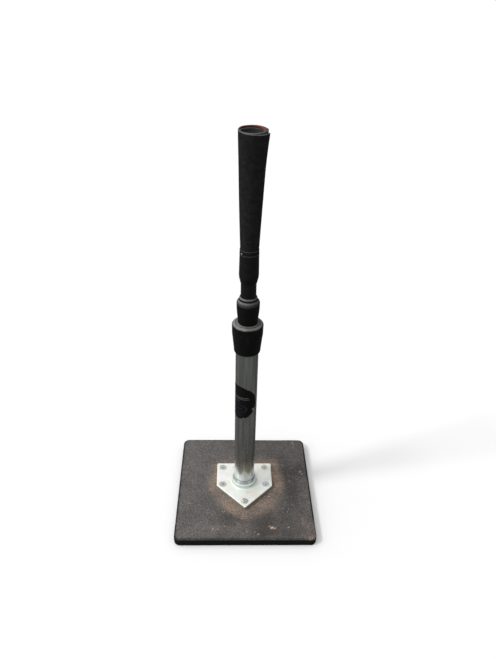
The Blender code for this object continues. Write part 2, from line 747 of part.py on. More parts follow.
def make_cone(stage):
    """Rolled cone: an uneven outer edge, and a flat ring round the opening."""
    rings = [cone_ring(cone_outer, level(z)) for z in CONE_OUTER_HEIGHTS]
    rings += [
        cone_ring(cone_outer, lambda turn: rim_height(turn) - RIM_CHAMFER),
        cone_ring(cone_outer, rim_height, -RIM_CHAMFER),
        cone_ring(cone_outer, rim_height, 0.15 - SHEET),
        cone_ring(cone_outer, level(CONE_TOP), -0.15 - SHEET),
        cone_ring(cone_inner, level(CONE_TOP), 0.5),
    ]
    rings += [cone_ring(cone_inner, level(z)) for z in CONE_INNER_HEIGHTS]
    bm = loft(rings, closed=True)
    return finish(bm, "ball_rest_cone", "cone_rubber", (0.0, 0.0, CONE_BOTTOM), stage)


def make_rivet(stage, pierced):
    """Rivet through the sleeve, cone and tube, and its hole in each of them."""
    seat = sleeve_outer(RIVET_Z)
    # (radius, distance from the stem's axis)
    profile = [
        (RIVET_SHANK_R, UPPER_BORE - 1.2), (RIVET_SHANK_R, seat + 0.25),
        (1.6, seat + 0.25), (1.5, seat + 0.75), (0.8, seat + 1.1),
    ]
    radial_discs("cone_rivet", profile, RIVET_AZIMUTH, RIVET_Z, 16, "bright_zinc", stage)
    hole = [(RIVET_HOLE_R, distance) for distance in RIVET_HOLE_REACH]
    cutter = helper(radial_discs("rivet_hole", hole, RIVET_AZIMUTH, RIVET_Z, 16))
    for obj in pierced:
        boolean(obj, cutter)


def make_upper_stage(guide, stage):
    split_bush(
        "upper_guide_bush", UPPER_R + GAP, MIDDLE_BORE - GAP,
        UPPER_BUSH_BOTTOM, UPPER_BUSH_TOP, guide,
    )
    tube = sliding_tube(
        "upper_tube", UPPER_R, UPPER_BORE, UPPER_BOTTOM, UPPER_TOP,
        UPPER_BUSH_TOP, lip=0.8, bead=0.7, parent=stage,
    )
    make_tube_cap(stage)
    sleeve = make_sleeve(stage)
    cone = make_cone(stage)
    make_rivet(stage, (tube, sleeve, cone))


def main():
    clear_scene()
    for name, look in MATERIALS.items():
        make_material(name, **look)

    base = frame("base_frame", 0.0)
    middle_guide = frame("middle_slide_axis", MIDDLE_BUSH_BOTTOM, base)
    middle = frame("middle_turn_axis", MIDDLE_BOTTOM, middle_guide)
    upper_guide = frame("upper_slide_axis", UPPER_BUSH_BOTTOM, middle)
    upper = frame("upper_turn_axis", UPPER_BOTTOM, upper_guide)

    make_base(base)
    make_flange(base)
    make_screws(base)
    make_ferrule(base)
    make_lower_tube(base)
    make_lower_collar(base)
    make_label(base)
    make_middle_stage(middle_guide, middle)
    make_upper_stage(upper_guide, upper)


main()
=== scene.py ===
"""Looks of a telescoping batting tee: square base, home-plate flange, three tubes, rolled cone.

Frame: metres, origin on the stem's axis at the ground, +Z up, -Y towards the
point of the home plate.  Lengths in the shape code are millimetres.
Azimuths are measured from -Y, positive towards +X.
"""

import math
from functools import cached_property
from itertools import product

import bmesh
import bpy
import numpy as np
from mathutils import Matrix, Vector


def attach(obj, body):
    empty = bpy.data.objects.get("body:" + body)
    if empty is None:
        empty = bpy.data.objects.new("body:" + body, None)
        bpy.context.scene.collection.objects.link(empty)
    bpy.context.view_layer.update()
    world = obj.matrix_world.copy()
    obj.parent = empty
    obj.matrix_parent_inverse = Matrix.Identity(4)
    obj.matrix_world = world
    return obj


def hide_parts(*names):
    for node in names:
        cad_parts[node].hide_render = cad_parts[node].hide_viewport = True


MM = 0.001
TAU = 2 * math.pi

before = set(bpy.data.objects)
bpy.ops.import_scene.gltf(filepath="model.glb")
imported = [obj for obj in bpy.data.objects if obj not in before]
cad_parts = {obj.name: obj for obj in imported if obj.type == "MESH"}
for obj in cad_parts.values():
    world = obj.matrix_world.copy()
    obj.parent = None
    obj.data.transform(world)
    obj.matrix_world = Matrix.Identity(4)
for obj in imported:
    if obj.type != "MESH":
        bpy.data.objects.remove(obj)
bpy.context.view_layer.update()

# ---- driving dimensions ----
BASE_SIDE, BASE_CENTRE, BASE_CORNER_R = 254.0, (1.0, -5.4), 11.0
BASE_TOP, BASE_EDGE_R = 16.3, 3.6
PAD_TOP, COVER_BOTTOM, COVER_FOOT_R = 4.4, 4.7, 0.7
POCKET_SIDE, POCKET_CORNER_R, POCKET_TOP = 228.0, 6.0, 11.0
WEIGHT_SIDE, WEIGHT_BOTTOM, WEIGHT_THICK = 227.0, PAD_TOP + 0.35, 5.8

FLANGE_BOTTOM, FLANGE_TOP = 16.6, 24.3
PLATE_LEFT, PLATE_RIGHT, PLATE_BACK, PLATE_TIP = -53.0, 54.0, 43.4, (1.0, -68.3)
BOSS_R, BOSS_TOP, BOSS_FILLET, SOCKET_R = 24.2, 32.5, 2.6, 21.1
SCREW_XY = ((-41.2, 32.2), (41.3, 32.3), (-40.8, -11.4), (42.1, -11.15), (0.9, -52.6))
SCREW_HEAD_R, SCREW_R, SCREW_HEAD_Z, SCREW_LENGTH = 6.6, 3.175, 24.15, 18.4
SCREW_CLEAR = 0.3

LOWER_R, LOWER_WALL, LOWER_BOTTOM, LOWER_TOP = 19.05, 1.5, 20.5, 372.0
MIDDLE_R, MIDDLE_WALL = 14.8, 1.0
UPPER_R, UPPER_WALL = 12.3, 1.2
FIT = 0.3
# Inner and outer radius of the sleeves between two tubes.
LOWER_GAP = (MIDDLE_R + FIT, LOWER_R - LOWER_WALL - FIT)
UPPER_GAP = (UPPER_R + FIT, MIDDLE_R - MIDDLE_WALL - FIT)

LABEL_R, LABEL_AZIMUTH, LABEL_Z = 35.5, math.radians(-49.0), 230.0
SLEEVE_BOTTOM, SLEEVE_TAPER_TOP, SLEEVE_TOP = 456.6, 467.2, 512.2
CONE_BOTTOM, CONE_TOP, TUBE_END = 468.6, 682.1, 536.0
FLAP_AZIMUTH = math.radians(96.0)
RIVET_AZIMUTH, RIVET_Z = math.radians(-51.0), 507.2


# ---- numbers ----
def smooth(low, high, value):
    share = np.clip((np.asarray(value, float) - low) / (high - low), 0.0, 1.0)
    return share * share * (3 - 2 * share)


def bell(value, centre, width):
    return np.exp(-(((value - centre) / width) ** 2))


def lattice(i, j, k, seed):
    """A repeatable value of 0 to 1 for each whole-numbered cell."""
    mixed = i * 374761393 + j * 668265263 + k * 1274126177 + seed * 974634777
    mixed &= 0xFFFFFFFF
    mixed = ((mixed ^ (mixed >> 13)) * 1274126177) & 0xFFFFFFFF
    mixed = ((mixed ^ (mixed >> 15)) * 668265263) & 0xFFFFFFFF
    return (mixed ^ (mixed >> 16)) / 4294967295.0


def noise(points, size, seed):
    """Smooth value noise of 0 to 1 at points (n, 3), with cells of the given size."""
    scaled = np.asarray(points, float) / size
    cell = np.floor(scaled).astype(np.int64)
    part = scaled - cell
    part = part * part * (3 - 2 * part)
    total = np.zeros(len(scaled))
    for corner in product((0, 1), repeat=3):
        share = np.abs(1 - np.array(corner) - part).prod(axis=1)
        total += share * lattice(*(cell + corner).T, seed)
    return total


def cloud(points, size, seed, octaves=4):
    shares = 0.5 ** np.arange(octaves)
    layers = (s * noise(points, size / 2**k, seed + 17 * k) for k, s in enumerate(shares))
    return sum(layers) / shares.sum()


def blot(points, x, y, radius_x, radius_y, turn, soft):
    """1 inside an ellipse on the plan, falling to 0 outside it; turn in degrees."""
    cosine, sine = math.cos(math.radians(turn)), math.sin(math.radians(turn))
    dx, dy = points[:, 0] - x, points[:, 1] - y
    away = np.hypot((dx * cosine + dy * sine) / radius_x, (-dx * sine + dy * cosine) / radius_y)
    return 1 - smooth(1 - soft, 1 + soft, away)


def azimuth_of(points):
    return np.arctan2(points[:, 0], -points[:, 1])


def radius_of(points):
    return np.hypot(points[:, 0], points[:, 1])


def facing(azimuth, degrees):
    """1 where the azimuth is the given one, 0 opposite it."""
    return 0.5 + 0.5 * np.cos(azimuth - math.radians(degrees))


# ---- meshes ----
class Solid:
    """Points in millimetres and faces, gathered before they become one mesh."""

    def __init__(self):
        self.points = []
        self.faces = []
        self.count = 0

    def add(self, points):
        """Adds an array of points (..., 3) and returns their indices in the same layout."""
        points = np.asarray(points, float)
        index = self.count + np.arange(points[..., 0].size).reshape(points.shape[:-1])
        self.points.append(points.reshape(-1, 3))
        self.count += index.size
        return index

    def quads(self, index, close_rows=False, close_columns=False):
        if close_rows:
            index = np.vstack([index, index[:1]])
        if close_columns:
            index = np.hstack([index, index[:, :1]])
        corners = [index[:-1, :-1], index[1:, :-1], index[1:, 1:], index[:-1, 1:]]
        self.faces += np.stack(corners, -1).reshape(-1, 4).tolist()

    def grid(self, rows, close_rows=False, close_columns=False):
        index = self.add(rows)
        self.quads(index, close_rows, close_columns)
        return index

    def cap(self, loop):
        self.faces.append([int(i) for i in loop])

    def fan(self, loop, centre):
        middle = int(self.add([centre])[0])
        loop = [int(i) for i in loop]
        for here, after in zip(loop, loop[1:] + loop[:1]):
            self.faces.append([here, after, middle])

    def mesh(self, name):
        mesh = bpy.data.meshes.new(name)
        mesh.from_pydata((np.vstack(self.points) * MM).tolist(), [], self.faces)
        bm = bmesh.new()
        bm.from_mesh(mesh)
        bmesh.ops.remove_doubles(bm, verts=bm.verts[:], dist=1e-4 * MM)
        bmesh.ops.recalc_face_normals(bm, faces=bm.faces[:])
        bm.to_mesh(mesh)
        bm.free()
        mesh.validate()
        return mesh


def around(segments):
    return np.linspace(0, TAU, segments, endpoint=False)


def spin(profile, angles):
    """Points (angle, profile point, 3) of a (radius, height) profile turned about Z."""
    radius, height = np.asarray(profile, float).T
    x, y = np.outer(np.cos(angles), radius), np.outer(np.sin(angles), radius)
    return np.stack([x, y, np.outer(np.ones(len(angles)), height)], -1)


def turned(profile, segments):
    """A ring spun from a closed profile."""
    made = Solid()
    made.grid(spin(profile, around(segments)), close_rows=True, close_columns=True)
    return made


def capped(rows):
    """A solid skinned over closed loops, with flat ends."""
    made = Solid()
    index = made.grid(rows, close_columns=True)
    made.cap(index[0][::-1])
    made.cap(index[-1])
    return made


def stack_rows(profile, angles, centre=(0.0, 0.0)):
    return spin(profile, angles).transpose(1, 0, 2) + (*centre, 0.0)


def stacked(profile, segments, centre=(0.0, 0.0)):
    """A solid turned piece, closed at both ends."""
    return capped(stack_rows(profile, around(segments), centre))


def radial_solid(profile, azimuth, z):
    """A solid turned from (radius, distance) pairs, its axis pointing out from the stem."""
    out = np.array([math.sin(azimuth), -math.cos(azimuth), 0.0])
    up = np.array([0.0, 0.0, 1.0])
    axes = np.array([np.cross(out, up), up, out])
    return capped(stack_rows(profile, around(40)) @ axes + z * up)


def slab(loops):
    made = Solid()
    index = made.add(loops)
    made.cap(index[0][::-1])
    made.quads(index, close_columns=True)
    made.cap(index[-1])
    return made


def curve(points, step):
    """A smooth line through (radius, height) points (centripetal Catmull-Rom)."""
    points = np.asarray(points, float)
    points = np.vstack([2 * points[0] - points[1], points, 2 * points[-1] - points[-2]])
    levels = (((0, 1), (1, 2), (2, 3)), ((0, 2), (1, 3)), ((1, 2),))
    out = []
    for first in range(len(points) - 3):
        four = points[first : first + 4]
        reach = np.linalg.norm(np.diff(four, axis=0), axis=1)
        knots = np.concatenate([[0.0], np.cumsum(reach**0.5)])
        count = max(1, int(round(reach[1] / step)))
        for at in knots[1] + (knots[2] - knots[1]) * np.arange(count) / count:
            row = four
            for pairs in levels:
                row = [
                    ((knots[j] - at) * row[n] + (at - knots[i]) * row[n + 1])
                    / (knots[j] - knots[i])
                    for n, (i, j) in enumerate(pairs)
                ]
            out.append(row[0])
    return out + [points[-2]]


def line(start, end, step):
    """Even points from start up to, but without, the end."""
    count = max(1, int(round(math.dist(start, end) / step)))
    return [
        (start[0] + (end[0] - start[0]) * k / count, start[1] + (end[1] - start[1]) * k / count)
        for k in range(count)
    ]


def on_circle(centre, radius, degrees):
    angle = math.radians(degrees)
    return centre[0] + radius * math.cos(angle), centre[1] + radius * math.sin(angle)


def arc(centre, radius, start, end, steps):
    return [
        on_circle(centre, radius, start + (end - start) * k / steps) for k in range(steps + 1)
    ]


def linked(name, data):
    obj = bpy.data.objects.new(name, data)
    bpy.context.scene.collection.objects.link(obj)
    return obj


def carve(obj, others):
    """Applies Booleans (operation, solid) and keeps only the result."""
    helpers = []
    for operation, solid in others:
        helper = linked("cutter", solid.mesh("cutter"))
        modifier = obj.modifiers.new(operation, "BOOLEAN")
        modifier.operation = operation
        modifier.object = helper
        modifier.solver = "EXACT"
        helpers.append(helper)
    bpy.context.view_layer.update()
    graph = bpy.context.evaluated_depsgraph_get()
    made = bpy.data.meshes.new_from_object(obj.evaluated_get(graph))
    obj.modifiers.clear()
    old = obj.data
    obj.data = made
    bpy.data.meshes.remove(old)
    for helper in helpers:
        data = helper.data
        bpy.data.objects.remove(helper)
        bpy.data.meshes.remove(data)


def piece(node, solid, body, material, sharp=38.0, carved=(), paint=None):
    """Makes the visible piece, which stands for the CAD node and rides on its body."""
    name = node + "_look"
    obj = linked(name, solid.mesh(name))
    if carved:
        carve(obj, carved)
    mesh = obj.data
    mesh.name = name
    if paint:
        points = np.empty(len(mesh.vertices) * 3, np.float32)
        mesh.vertices.foreach_get("co", points)
        points = points.reshape(-1, 3).astype(float) / MM
        for key, values in paint(points).items():
            attribute = mesh.attributes.new(key, "FLOAT", "POINT")
            attribute.data.foreach_set("value", np.asarray(values, np.float32))
    mesh.materials.clear()
    mesh.materials.append(material)
    mesh.shade_smooth()
    mesh.set_sharp_from_angle(angle=math.radians(sharp))
    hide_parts(node)
    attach(obj, body)


# ---- materials ----
class Graph:
    """The node tree of a material or world, with short ways to add nodes."""

    def __init__(self, owner):
        self.owner = owner
        owner.use_nodes = True
        self.tree = owner.node_tree
        self.tree.nodes.clear()

    @cached_property
    def coords(self):
        return self.node("TexCoord").outputs["Object"]

    def put(self, socket, value):
        if isinstance(value, bpy.types.NodeSocket):
            self.tree.links.new(value, socket)
        elif isinstance(value, (tuple, list)) and len(value) == 3 and socket.type == "RGBA":
            socket.default_value = (*value, 1.0)
        else:
            socket.default_value = value

    def node(self, kind, inputs=None, **settings):
        made = self.tree.nodes.new("ShaderNode" + kind)
        for key, value in settings.items():
            setattr(made, key, value)
        for key, value in (inputs or {}).items():
            self.put(made.inputs[key], value)
        return made

    def attribute(self, name):
        return self.node("Attribute", attribute_name=name).outputs["Fac"]

    def height(self):
        return self.node("SeparateXYZ", {"Vector": self.coords}).outputs["Z"]

    def distance(self, place):
        made = self.node("VectorMath", {0: self.coords, 1: place}, operation="DISTANCE")
        return made.outputs["Value"]

    def noise(self, size, detail, rough, stretch=None):
        """Noise with features of the given size in mm; stretch scales the coordinates."""
        vector = self.coords
        if stretch:
            vector = self.node("Mapping", {"Vector": vector, "Scale": stretch}).outputs["Vector"]
        inputs = {"Vector": vector, "Scale": 1000.0 / size, "Detail": detail, "Roughness": rough}
        return self.node("TexNoise", inputs).outputs["Fac"]

    def cells(self, size):
        inputs = {"Vector": self.coords, "Scale": 1000.0 / size}
        return self.node("TexVoronoi", inputs).outputs["Distance"]

    def ramp(self, value, low, high, to=(0.0, 1.0)):
        inputs = {"Value": value, "From Min": low, "From Max": high}
        inputs |= {"To Min": to[0], "To Max": to[1]}
        made = self.node("MapRange", inputs, clamp=True, interpolation_type="SMOOTHSTEP")
        return made.outputs["Result"]

    def patches(self, low, high, to=(0.0, 1.0), **noise):
        """Noise ramped from low to high."""
        return self.ramp(self.noise(**noise), low, high, to)

    def math(self, operation, first, second, third=0.0):
        inputs = {0: first, 1: second, 2: third}
        return self.node("Math", inputs, operation=operation).outputs[0]

    def times(self, first, second):
        return self.math("MULTIPLY", first, second)

    def plus(self, first, second):
        return self.math("ADD", first, second)

    def inverse(self, value):
        return self.math("SUBTRACT", 1.0, value)

    def mix(self, share, first, second, blend="MIX"):
        inputs = {0: share, 6: first, 7: second}
        return self.node("Mix", inputs, data_type="RGBA", blend_type=blend).outputs[2]

    def tint(self, colour, tint, mask, strength):
        """The colour moved towards the tint by mask times strength."""
        return self.mix(self.times(mask, strength), colour, tint)

    def bump(self, height, distance, strength):
        inputs = {"Height": height, "Distance": distance * MM, "Strength": strength}
        return self.node("Bump", inputs).outputs["Normal"]

    def surface(self, colour, rough, normal=None, metallic=0.0, specular=0.5):
        inputs = {"Base Color": colour, "Roughness": rough, "Metallic": metallic}
        inputs["Specular IOR Level"] = specular
        if normal:
            inputs["Normal"] = normal
        return self.node("BsdfPrincipled", inputs).outputs["BSDF"]

    def mix_shader(self, share, first, second):
        return self.node("MixShader", {0: share, 1: first, 2: second}).outputs["Shader"]

    def finish(self, shader):
        self.node("OutputMaterial", {"Surface": shader})
        return self.owner


def new_material(name):
    return Graph(bpy.data.materials.new(name))


def base_rubber():
    """Pebbled black rubber under a grey dusting, lightened towards -X by painted light, with clay
    stains and light specks.
    """
    mat = new_material("base_rubber")
    dust_and_light, clay, speck, smear = map(mat.attribute, ("dust_and_light", "clay", "speck", "smear"))
    fine = mat.noise(size=2.3, detail=4.0, rough=0.62)
    broad = mat.noise(size=26.0, detail=4.0, rough=0.6)
    held = mat.times(dust_and_light, mat.ramp(broad, 0.30, 0.70, to=(0.90, 1.06)))
    held = mat.times(held, mat.inverse(mat.times(smear, 0.62)))
    black = mat.mix(mat.ramp(fine, 0.4, 0.7), (0.010, 0.010, 0.010), (0.016, 0.016, 0.016))
    grey = mat.mix(mat.ramp(broad, 0.35, 0.65), (0.106, 0.0980, 0.0960), (0.122, 0.1130, 0.1095))
    colour = mat.mix(held, black, grey)
    patch_tone = mat.patches(0.30, 0.70, to=(0.50, 1.0), size=7.5, detail=4.0, rough=0.6)
    colour = mat.tint(colour, (0.360, 0.260, 0.184), clay, patch_tone)
    pebble = mat.patches(0.33, 0.67, to=(0.60, 1.40), size=2.1, detail=3.0, rough=0.62)
    colour = mat.mix(1.0, colour, pebble, "MULTIPLY")
    colour = mat.tint(colour, (0.55, 0.40, 0.30), speck, mat.ramp(fine, 0.36, 0.52))
    pores = mat.times(mat.ramp(mat.cells(2.6), 0.0, 0.55), 0.6)
    grain = mat.plus(pores, mat.times(fine, 0.8))
    strength = mat.math("MULTIPLY_ADD", dust_and_light, 0.55, 0.25)
    normal = mat.bump(grain, distance=0.35, strength=strength)
    rough = mat.math("MULTIPLY_ADD", dust_and_light, 0.30, 0.62)
    specular = mat.math("MULTIPLY_ADD", dust_and_light, 0.10, 0.12)
    return mat.finish(mat.surface(colour, rough, normal, specular=specular))


def pad_rubber():
    mat = new_material("base_rubber_pad")
    fine = mat.noise(size=1.4, detail=4.0, rough=0.6)
    scuff = mat.patches(0.52, 0.72, size=9.0, detail=3.0, rough=0.6, stretch=(1, 1, 2.5))
    colour = mat.tint((0.010, 0.010, 0.010), (0.05, 0.045, 0.042), scuff, 0.35)
    grain = mat.plus(fine, mat.times(mat.cells(3.0), 0.5))
    normal = mat.bump(grain, distance=0.25, strength=0.5)
    rough = mat.ramp(fine, 0.3, 0.7, to=(0.62, 0.85))
    return mat.finish(mat.surface(colour, rough, normal, specular=0.15))


# Tinted patches on the flange: place, radius where they are full, radius where they end
# (metres), share and colour. The grey patch right of the boss is painted shade; the yellow and
# brown ones are stains.
FLANGE_PATCHES = (
    ((0.0030, -0.0250, 0.0243), 0.0030, 0.0140, 0.45, (0.71, 0.81, 0.76)),
    ((0.0070, -0.0315, 0.0243), 0.0010, 0.0042, 0.35, (0.50, 0.50, 0.47)),
    ((0.0380, 0.0300, 0.0243), 0.0060, 0.0170, 0.40, (0.80, 0.72, 0.55)),
    ((0.0220, -0.0390, 0.0243), 0.0040, 0.0130, 0.40, (0.80, 0.72, 0.55)),
    ((0.0290, -0.0200, 0.0243), 0.0040, 0.0120, 0.35, (0.66, 0.68, 0.66)),
    ((-0.0030, -0.0600, 0.0243), 0.0020, 0.0080, 0.35, (0.78, 0.66, 0.48)),
)
RUST_PLACE = (-0.0211, 0.0321, 0.0243)


def flange_zinc():
    """Blotched zinc, greener on the boss, with stains, a painted shade patch right of the boss, one
    rust spot, and sides darkened by dirt and painted shade.
    """
    mat = new_material("flange_zinc")
    height = mat.height()
    blotch = mat.noise(size=14.0, detail=5.0, rough=0.62)
    colour = mat.mix(mat.ramp(blotch, 0.35, 0.68), (0.88, 0.885, 0.86), (0.79, 0.80, 0.765))
    yellow = mat.patches(0.46, 0.66, size=23.0, detail=3.0, rough=0.55, stretch=(1, 1, 3))
    colour = mat.tint(colour, (0.80, 0.75, 0.60), yellow, 0.5)
    boss = mat.ramp(height, 0.0242, 0.0254)
    colour = mat.tint(colour, (0.60, 0.72, 0.67), boss, 0.62)
    below_rim = mat.ramp(height, 0.0318, 0.0323, to=(1.0, 0.0))
    side = mat.times(mat.ramp(height, 0.0262, 0.0280), below_rim)
    colour = mat.tint(colour, (0.44, 0.54, 0.50), side, 0.70)
    # Tinted patches: stains, and a patch of painted shade right of the boss.
    for place, near, far, share, patch_tone in FLANGE_PATCHES:
        mask = mat.ramp(mat.distance(place), near, far, to=(1.0, 0.0))
        colour = mat.tint(colour, patch_tone, mask, share)
    # The plate's sides, below its top, go dark brown, less metallic and rougher: dirt and painted
    # shade.
    low = mat.inverse(mat.ramp(height, 0.0228, 0.0238))
    side_mottle = mat.patches(0.25, 0.6, to=(0.80, 0.97), size=3.2, detail=4.0, rough=0.6)
    dirt_and_shade = mat.times(low, side_mottle)
    colour = mat.mix(dirt_and_shade, colour, (0.190, 0.175, 0.142))
    ragged = mat.noise(size=1.6, detail=3.0, rough=0.6)
    away = mat.math("MULTIPLY_ADD", ragged, 0.0016, mat.distance(RUST_PLACE))
    rust = mat.inverse(mat.ramp(away, 0.0014, 0.0030))
    colour = mat.tint(colour, (0.62, 0.27, 0.11), rust, 0.75)
    fine = mat.noise(size=0.7, detail=3.0, rough=0.6)
    scratch = mat.patches(0.60, 0.78, size=1.1, detail=2.0, rough=0.5, stretch=(0.18, 1.6, 1.0))
    relief = mat.plus(mat.times(fine, 0.35), mat.times(scratch, -0.35))
    normal = mat.bump(relief, distance=0.08, strength=0.55)
    rough = mat.plus(mat.ramp(blotch, 0.3, 0.75, to=(0.48, 0.62)), mat.times(dirt_and_shade, 0.25))
    covered = mat.times(mat.math("MAXIMUM", dirt_and_shade, rust), 0.45)
    metallic = mat.math("SUBTRACT", 0.45, covered)
    return mat.finish(mat.surface(colour, rough, normal, metallic))


def bright_zinc(name, colour, rough):
    """Worn bright zinc with brown flecks; rough is its lowest and highest roughness."""
    mat = new_material(name)
    worn = mat.noise(size=2.4, detail=4.0, rough=0.65)
    tone = mat.mix(mat.ramp(worn, 0.35, 0.7), colour, tuple(c * 0.72 for c in colour))
    flecks = mat.patches(0.62, 0.75, size=1.3, detail=3.0, rough=0.6)
    tone = mat.tint(tone, (0.30, 0.23, 0.15), flecks, 0.4)
    grain = mat.noise(size=0.45, detail=3.0, rough=0.55)
    normal = mat.bump(grain, distance=0.05, strength=0.5)
    return mat.finish(mat.surface(tone, mat.ramp(worn, 0.3, 0.7, to=rough), normal, 1.0))


def galvanised():
    """Streaked galvanised steel, duller with height, with a painted reflection of the flange on its
    foot, painted shade, a dark line near the foot and painted glints.
    """
    mat = new_material("galvanised_tube")
    streak = mat.noise(size=4.2, detail=4.0, rough=0.6, stretch=(1.0, 1.0, 0.035))
    hair = mat.noise(size=0.8, detail=2.0, rough=0.5, stretch=(1.0, 1.0, 0.02))
    blotch = mat.noise(size=17.0, detail=4.0, rough=0.62, stretch=(1.0, 1.0, 0.45))
    speck = mat.patches(0.71, 0.77, size=1.5, detail=2.0, rough=0.4, stretch=(1.0, 1.0, 0.6))
    foot, shade, ring, glint = map(mat.attribute, ("foot", "shade", "ring", "glint"))
    colour = mat.mix(mat.ramp(streak, 0.36, 0.64), (0.71, 0.73, 0.69), (0.41, 0.44, 0.40))
    colour = mat.tint(colour, (0.60, 0.59, 0.50), mat.ramp(blotch, 0.45, 0.72), 0.35)
    # Painted reflection: the foot takes the pale colour of the flange it would mirror.
    colour = mat.mix(foot, colour, (0.88, 0.94, 0.95))
    # Painted shade: darker on the right side and in the reflection's dark bands.
    colour = mat.tint(colour, (0.20, 0.22, 0.21), shade, 0.55)
    relief = mat.plus(hair, mat.times(streak, 0.6))
    normal = mat.bump(relief, distance=0.045, strength=0.6)
    rough = mat.ramp(blotch, 0.3, 0.7, to=(0.20, 0.30))
    metal = mat.surface(colour, rough, normal, metallic=1.0)
    film = mat.mix(mat.ramp(streak, 0.3, 0.7), (0.092, 0.094, 0.087), (0.056, 0.058, 0.053))
    film = mat.tint(film, (0.20, 0.19, 0.16), speck, 0.5)
    dull = mat.surface(film, 0.55, normal, specular=0.2)
    high = mat.ramp(mat.height(), 0.075, 0.150)
    dullness = mat.plus(mat.times(high, 0.35), mat.times(speck, 0.3))
    # Surfaces below: the painted reflection on the foot, the dark line, and the white of the
    # painted glints.
    bright = mat.surface((0.36, 0.39, 0.39), 0.4, normal)
    dark = mat.surface((0.035, 0.040, 0.036), 0.5, specular=0.2)
    painted_glint = mat.surface((0.90, 0.91, 0.91), 0.3, normal, specular=0.6)
    body = mat.mix_shader(dullness, metal, dull)
    body = mat.mix_shader(mat.times(foot, 0.50), body, bright)
    body = mat.mix_shader(mat.times(ring, 0.75), body, dark)
    return mat.finish(mat.mix_shader(glint, body, painted_glint))


def ferrule_zinc():
    """Bright zinc, dull in its thread, with painted glints on its ring."""
    mat = new_material("bright_zinc_ferrule")
    worn = mat.noise(size=1.6, detail=4.0, rough=0.65)
    glint = mat.attribute("glint")
    colour = mat.mix(mat.ramp(worn, 0.35, 0.7), (0.78, 0.80, 0.79), (0.60, 0.61, 0.60))
    # Painted glints: white where the glint attribute says.
    colour = mat.mix(glint, colour, (0.92, 0.93, 0.93))
    grain = mat.noise(size=0.5, detail=3.0, rough=0.55)
    normal = mat.bump(grain, distance=0.05, strength=0.5)
    rough = mat.ramp(worn, 0.3, 0.7, to=(0.22, 0.38))
    metal = mat.surface(colour, rough, normal, metallic=0.35)
    painted_glint = mat.surface((0.86, 0.87, 0.87), 0.25, normal, specular=0.6)
    return mat.finish(mat.mix_shader(glint, metal, painted_glint))


def label_film():
    """Black film with worn print and chips."""
    mat = new_material("label_film")
    mark, faint, chip = map(mat.attribute, ("mark", "faint", "chip"))
    worn = mat.noise(size=1.7, detail=4.0, rough=0.7)
    colour = mat.mix(mat.ramp(worn, 0.3, 0.7), (0.0046, 0.0046, 0.0052), (0.0080, 0.0080, 0.0086))
    print_left = mat.ramp(worn, 0.38, 0.60, to=(0.25, 1.0))
    colour = mat.tint(colour, (0.15, 0.15, 0.145), mark, print_left)
    faint_left = mat.ramp(worn, 0.36, 0.62, to=(0.2, 0.9))
    colour = mat.tint(colour, (0.040, 0.046, 0.075), faint, faint_left)
    colour = mat.mix(chip, colour, (0.50, 0.47, 0.38))
    grain = mat.noise(size=2.6, detail=3.0, rough=0.6)
    normal = mat.bump(grain, distance=0.05, strength=0.5)
    rough = mat.ramp(worn, 0.3, 0.7, to=(0.42, 0.62))
    return mat.finish(mat.surface(colour, rough, normal, specular=0.12))


def soft_black(name, low, high, dust_and_light_colour=(0.20, 0.195, 0.185), rough=(0.5, 0.7),
               specular=0.2, grain=0.9, relief=0.06):
    """Black between the greys low and high, tinted towards a dusty grey where its attribute says;
    on the collars and the sleeve that tint is partly painted light.

    The grain's size and relief are in mm."""
    mat = new_material(name)
    dust_and_light = mat.attribute("dust_and_light")
    broad = mat.noise(size=12.0, detail=4.0, rough=0.62)
    fine = mat.noise(size=grain, detail=4.0, rough=0.6)
    blacks = ((tone, tone, tone * 1.05) for tone in (low, high))
    colour = mat.mix(mat.ramp(broad, 0.32, 0.70), *blacks)
    patchy = mat.patches(0.25, 0.65, to=(0.70, 1.0), size=3.0, detail=4.0, rough=0.65)
    # The dusty tint; on the collars and the sleeve it also carries painted light.
    colour = mat.tint(colour, dust_and_light_colour, dust_and_light, patchy)
    height = mat.plus(fine, mat.times(broad, 0.6))
    normal = mat.bump(height, distance=relief, strength=0.6)
    bare = mat.ramp(fine, 0.3, 0.7, to=rough)
    roughness = mat.math("MAXIMUM", bare, mat.times(dust_and_light, 0.62))
    return mat.finish(mat.surface(colour, roughness, normal, specular=specular))


def cone_rubber():
    """Matt black rubber, greyer inside and on the rim, where the grey is partly painted light, with
    clay on the rear edge.
    """
    mat = new_material("cone_rubber")
    rim, clay, inside = map(mat.attribute, ("rim", "clay", "inside"))
    broad = mat.noise(size=7.0, detail=5.0, rough=0.72)
    fine = mat.noise(size=1.1, detail=4.0, rough=0.62)
    tones = ((0.0125, 0.0125, 0.0128), (0.0240, 0.0240, 0.0250))
    colour = mat.mix(mat.ramp(broad, 0.34, 0.68), *tones)
    colour = mat.mix(inside, colour, (0.048, 0.045, 0.043))
    colour = mat.mix(mat.ramp(fine, 0.60, 0.78, to=(0.0, 0.25)), colour, (0.05, 0.05, 0.052))
    patchy = mat.patches(0.25, 0.65, to=(0.55, 1.0), size=2.2, detail=4.0, rough=0.6)
    colour = mat.tint(colour, (0.160, 0.162, 0.166), rim, patchy)
    caked = mat.ramp(fine, 0.25, 0.6, to=(0.6, 1.0))
    colour = mat.tint(colour, (0.20, 0.062, 0.036), clay, caked)
    height = mat.plus(mat.times(fine, 0.8), mat.times(mat.cells(1.5), 0.35))
    normal = mat.bump(height, distance=0.12, strength=0.6)
    rough = mat.ramp(broad, 0.3, 0.7, to=(0.80, 0.95))
    return mat.finish(mat.surface(colour, rough, normal, specular=0.10))


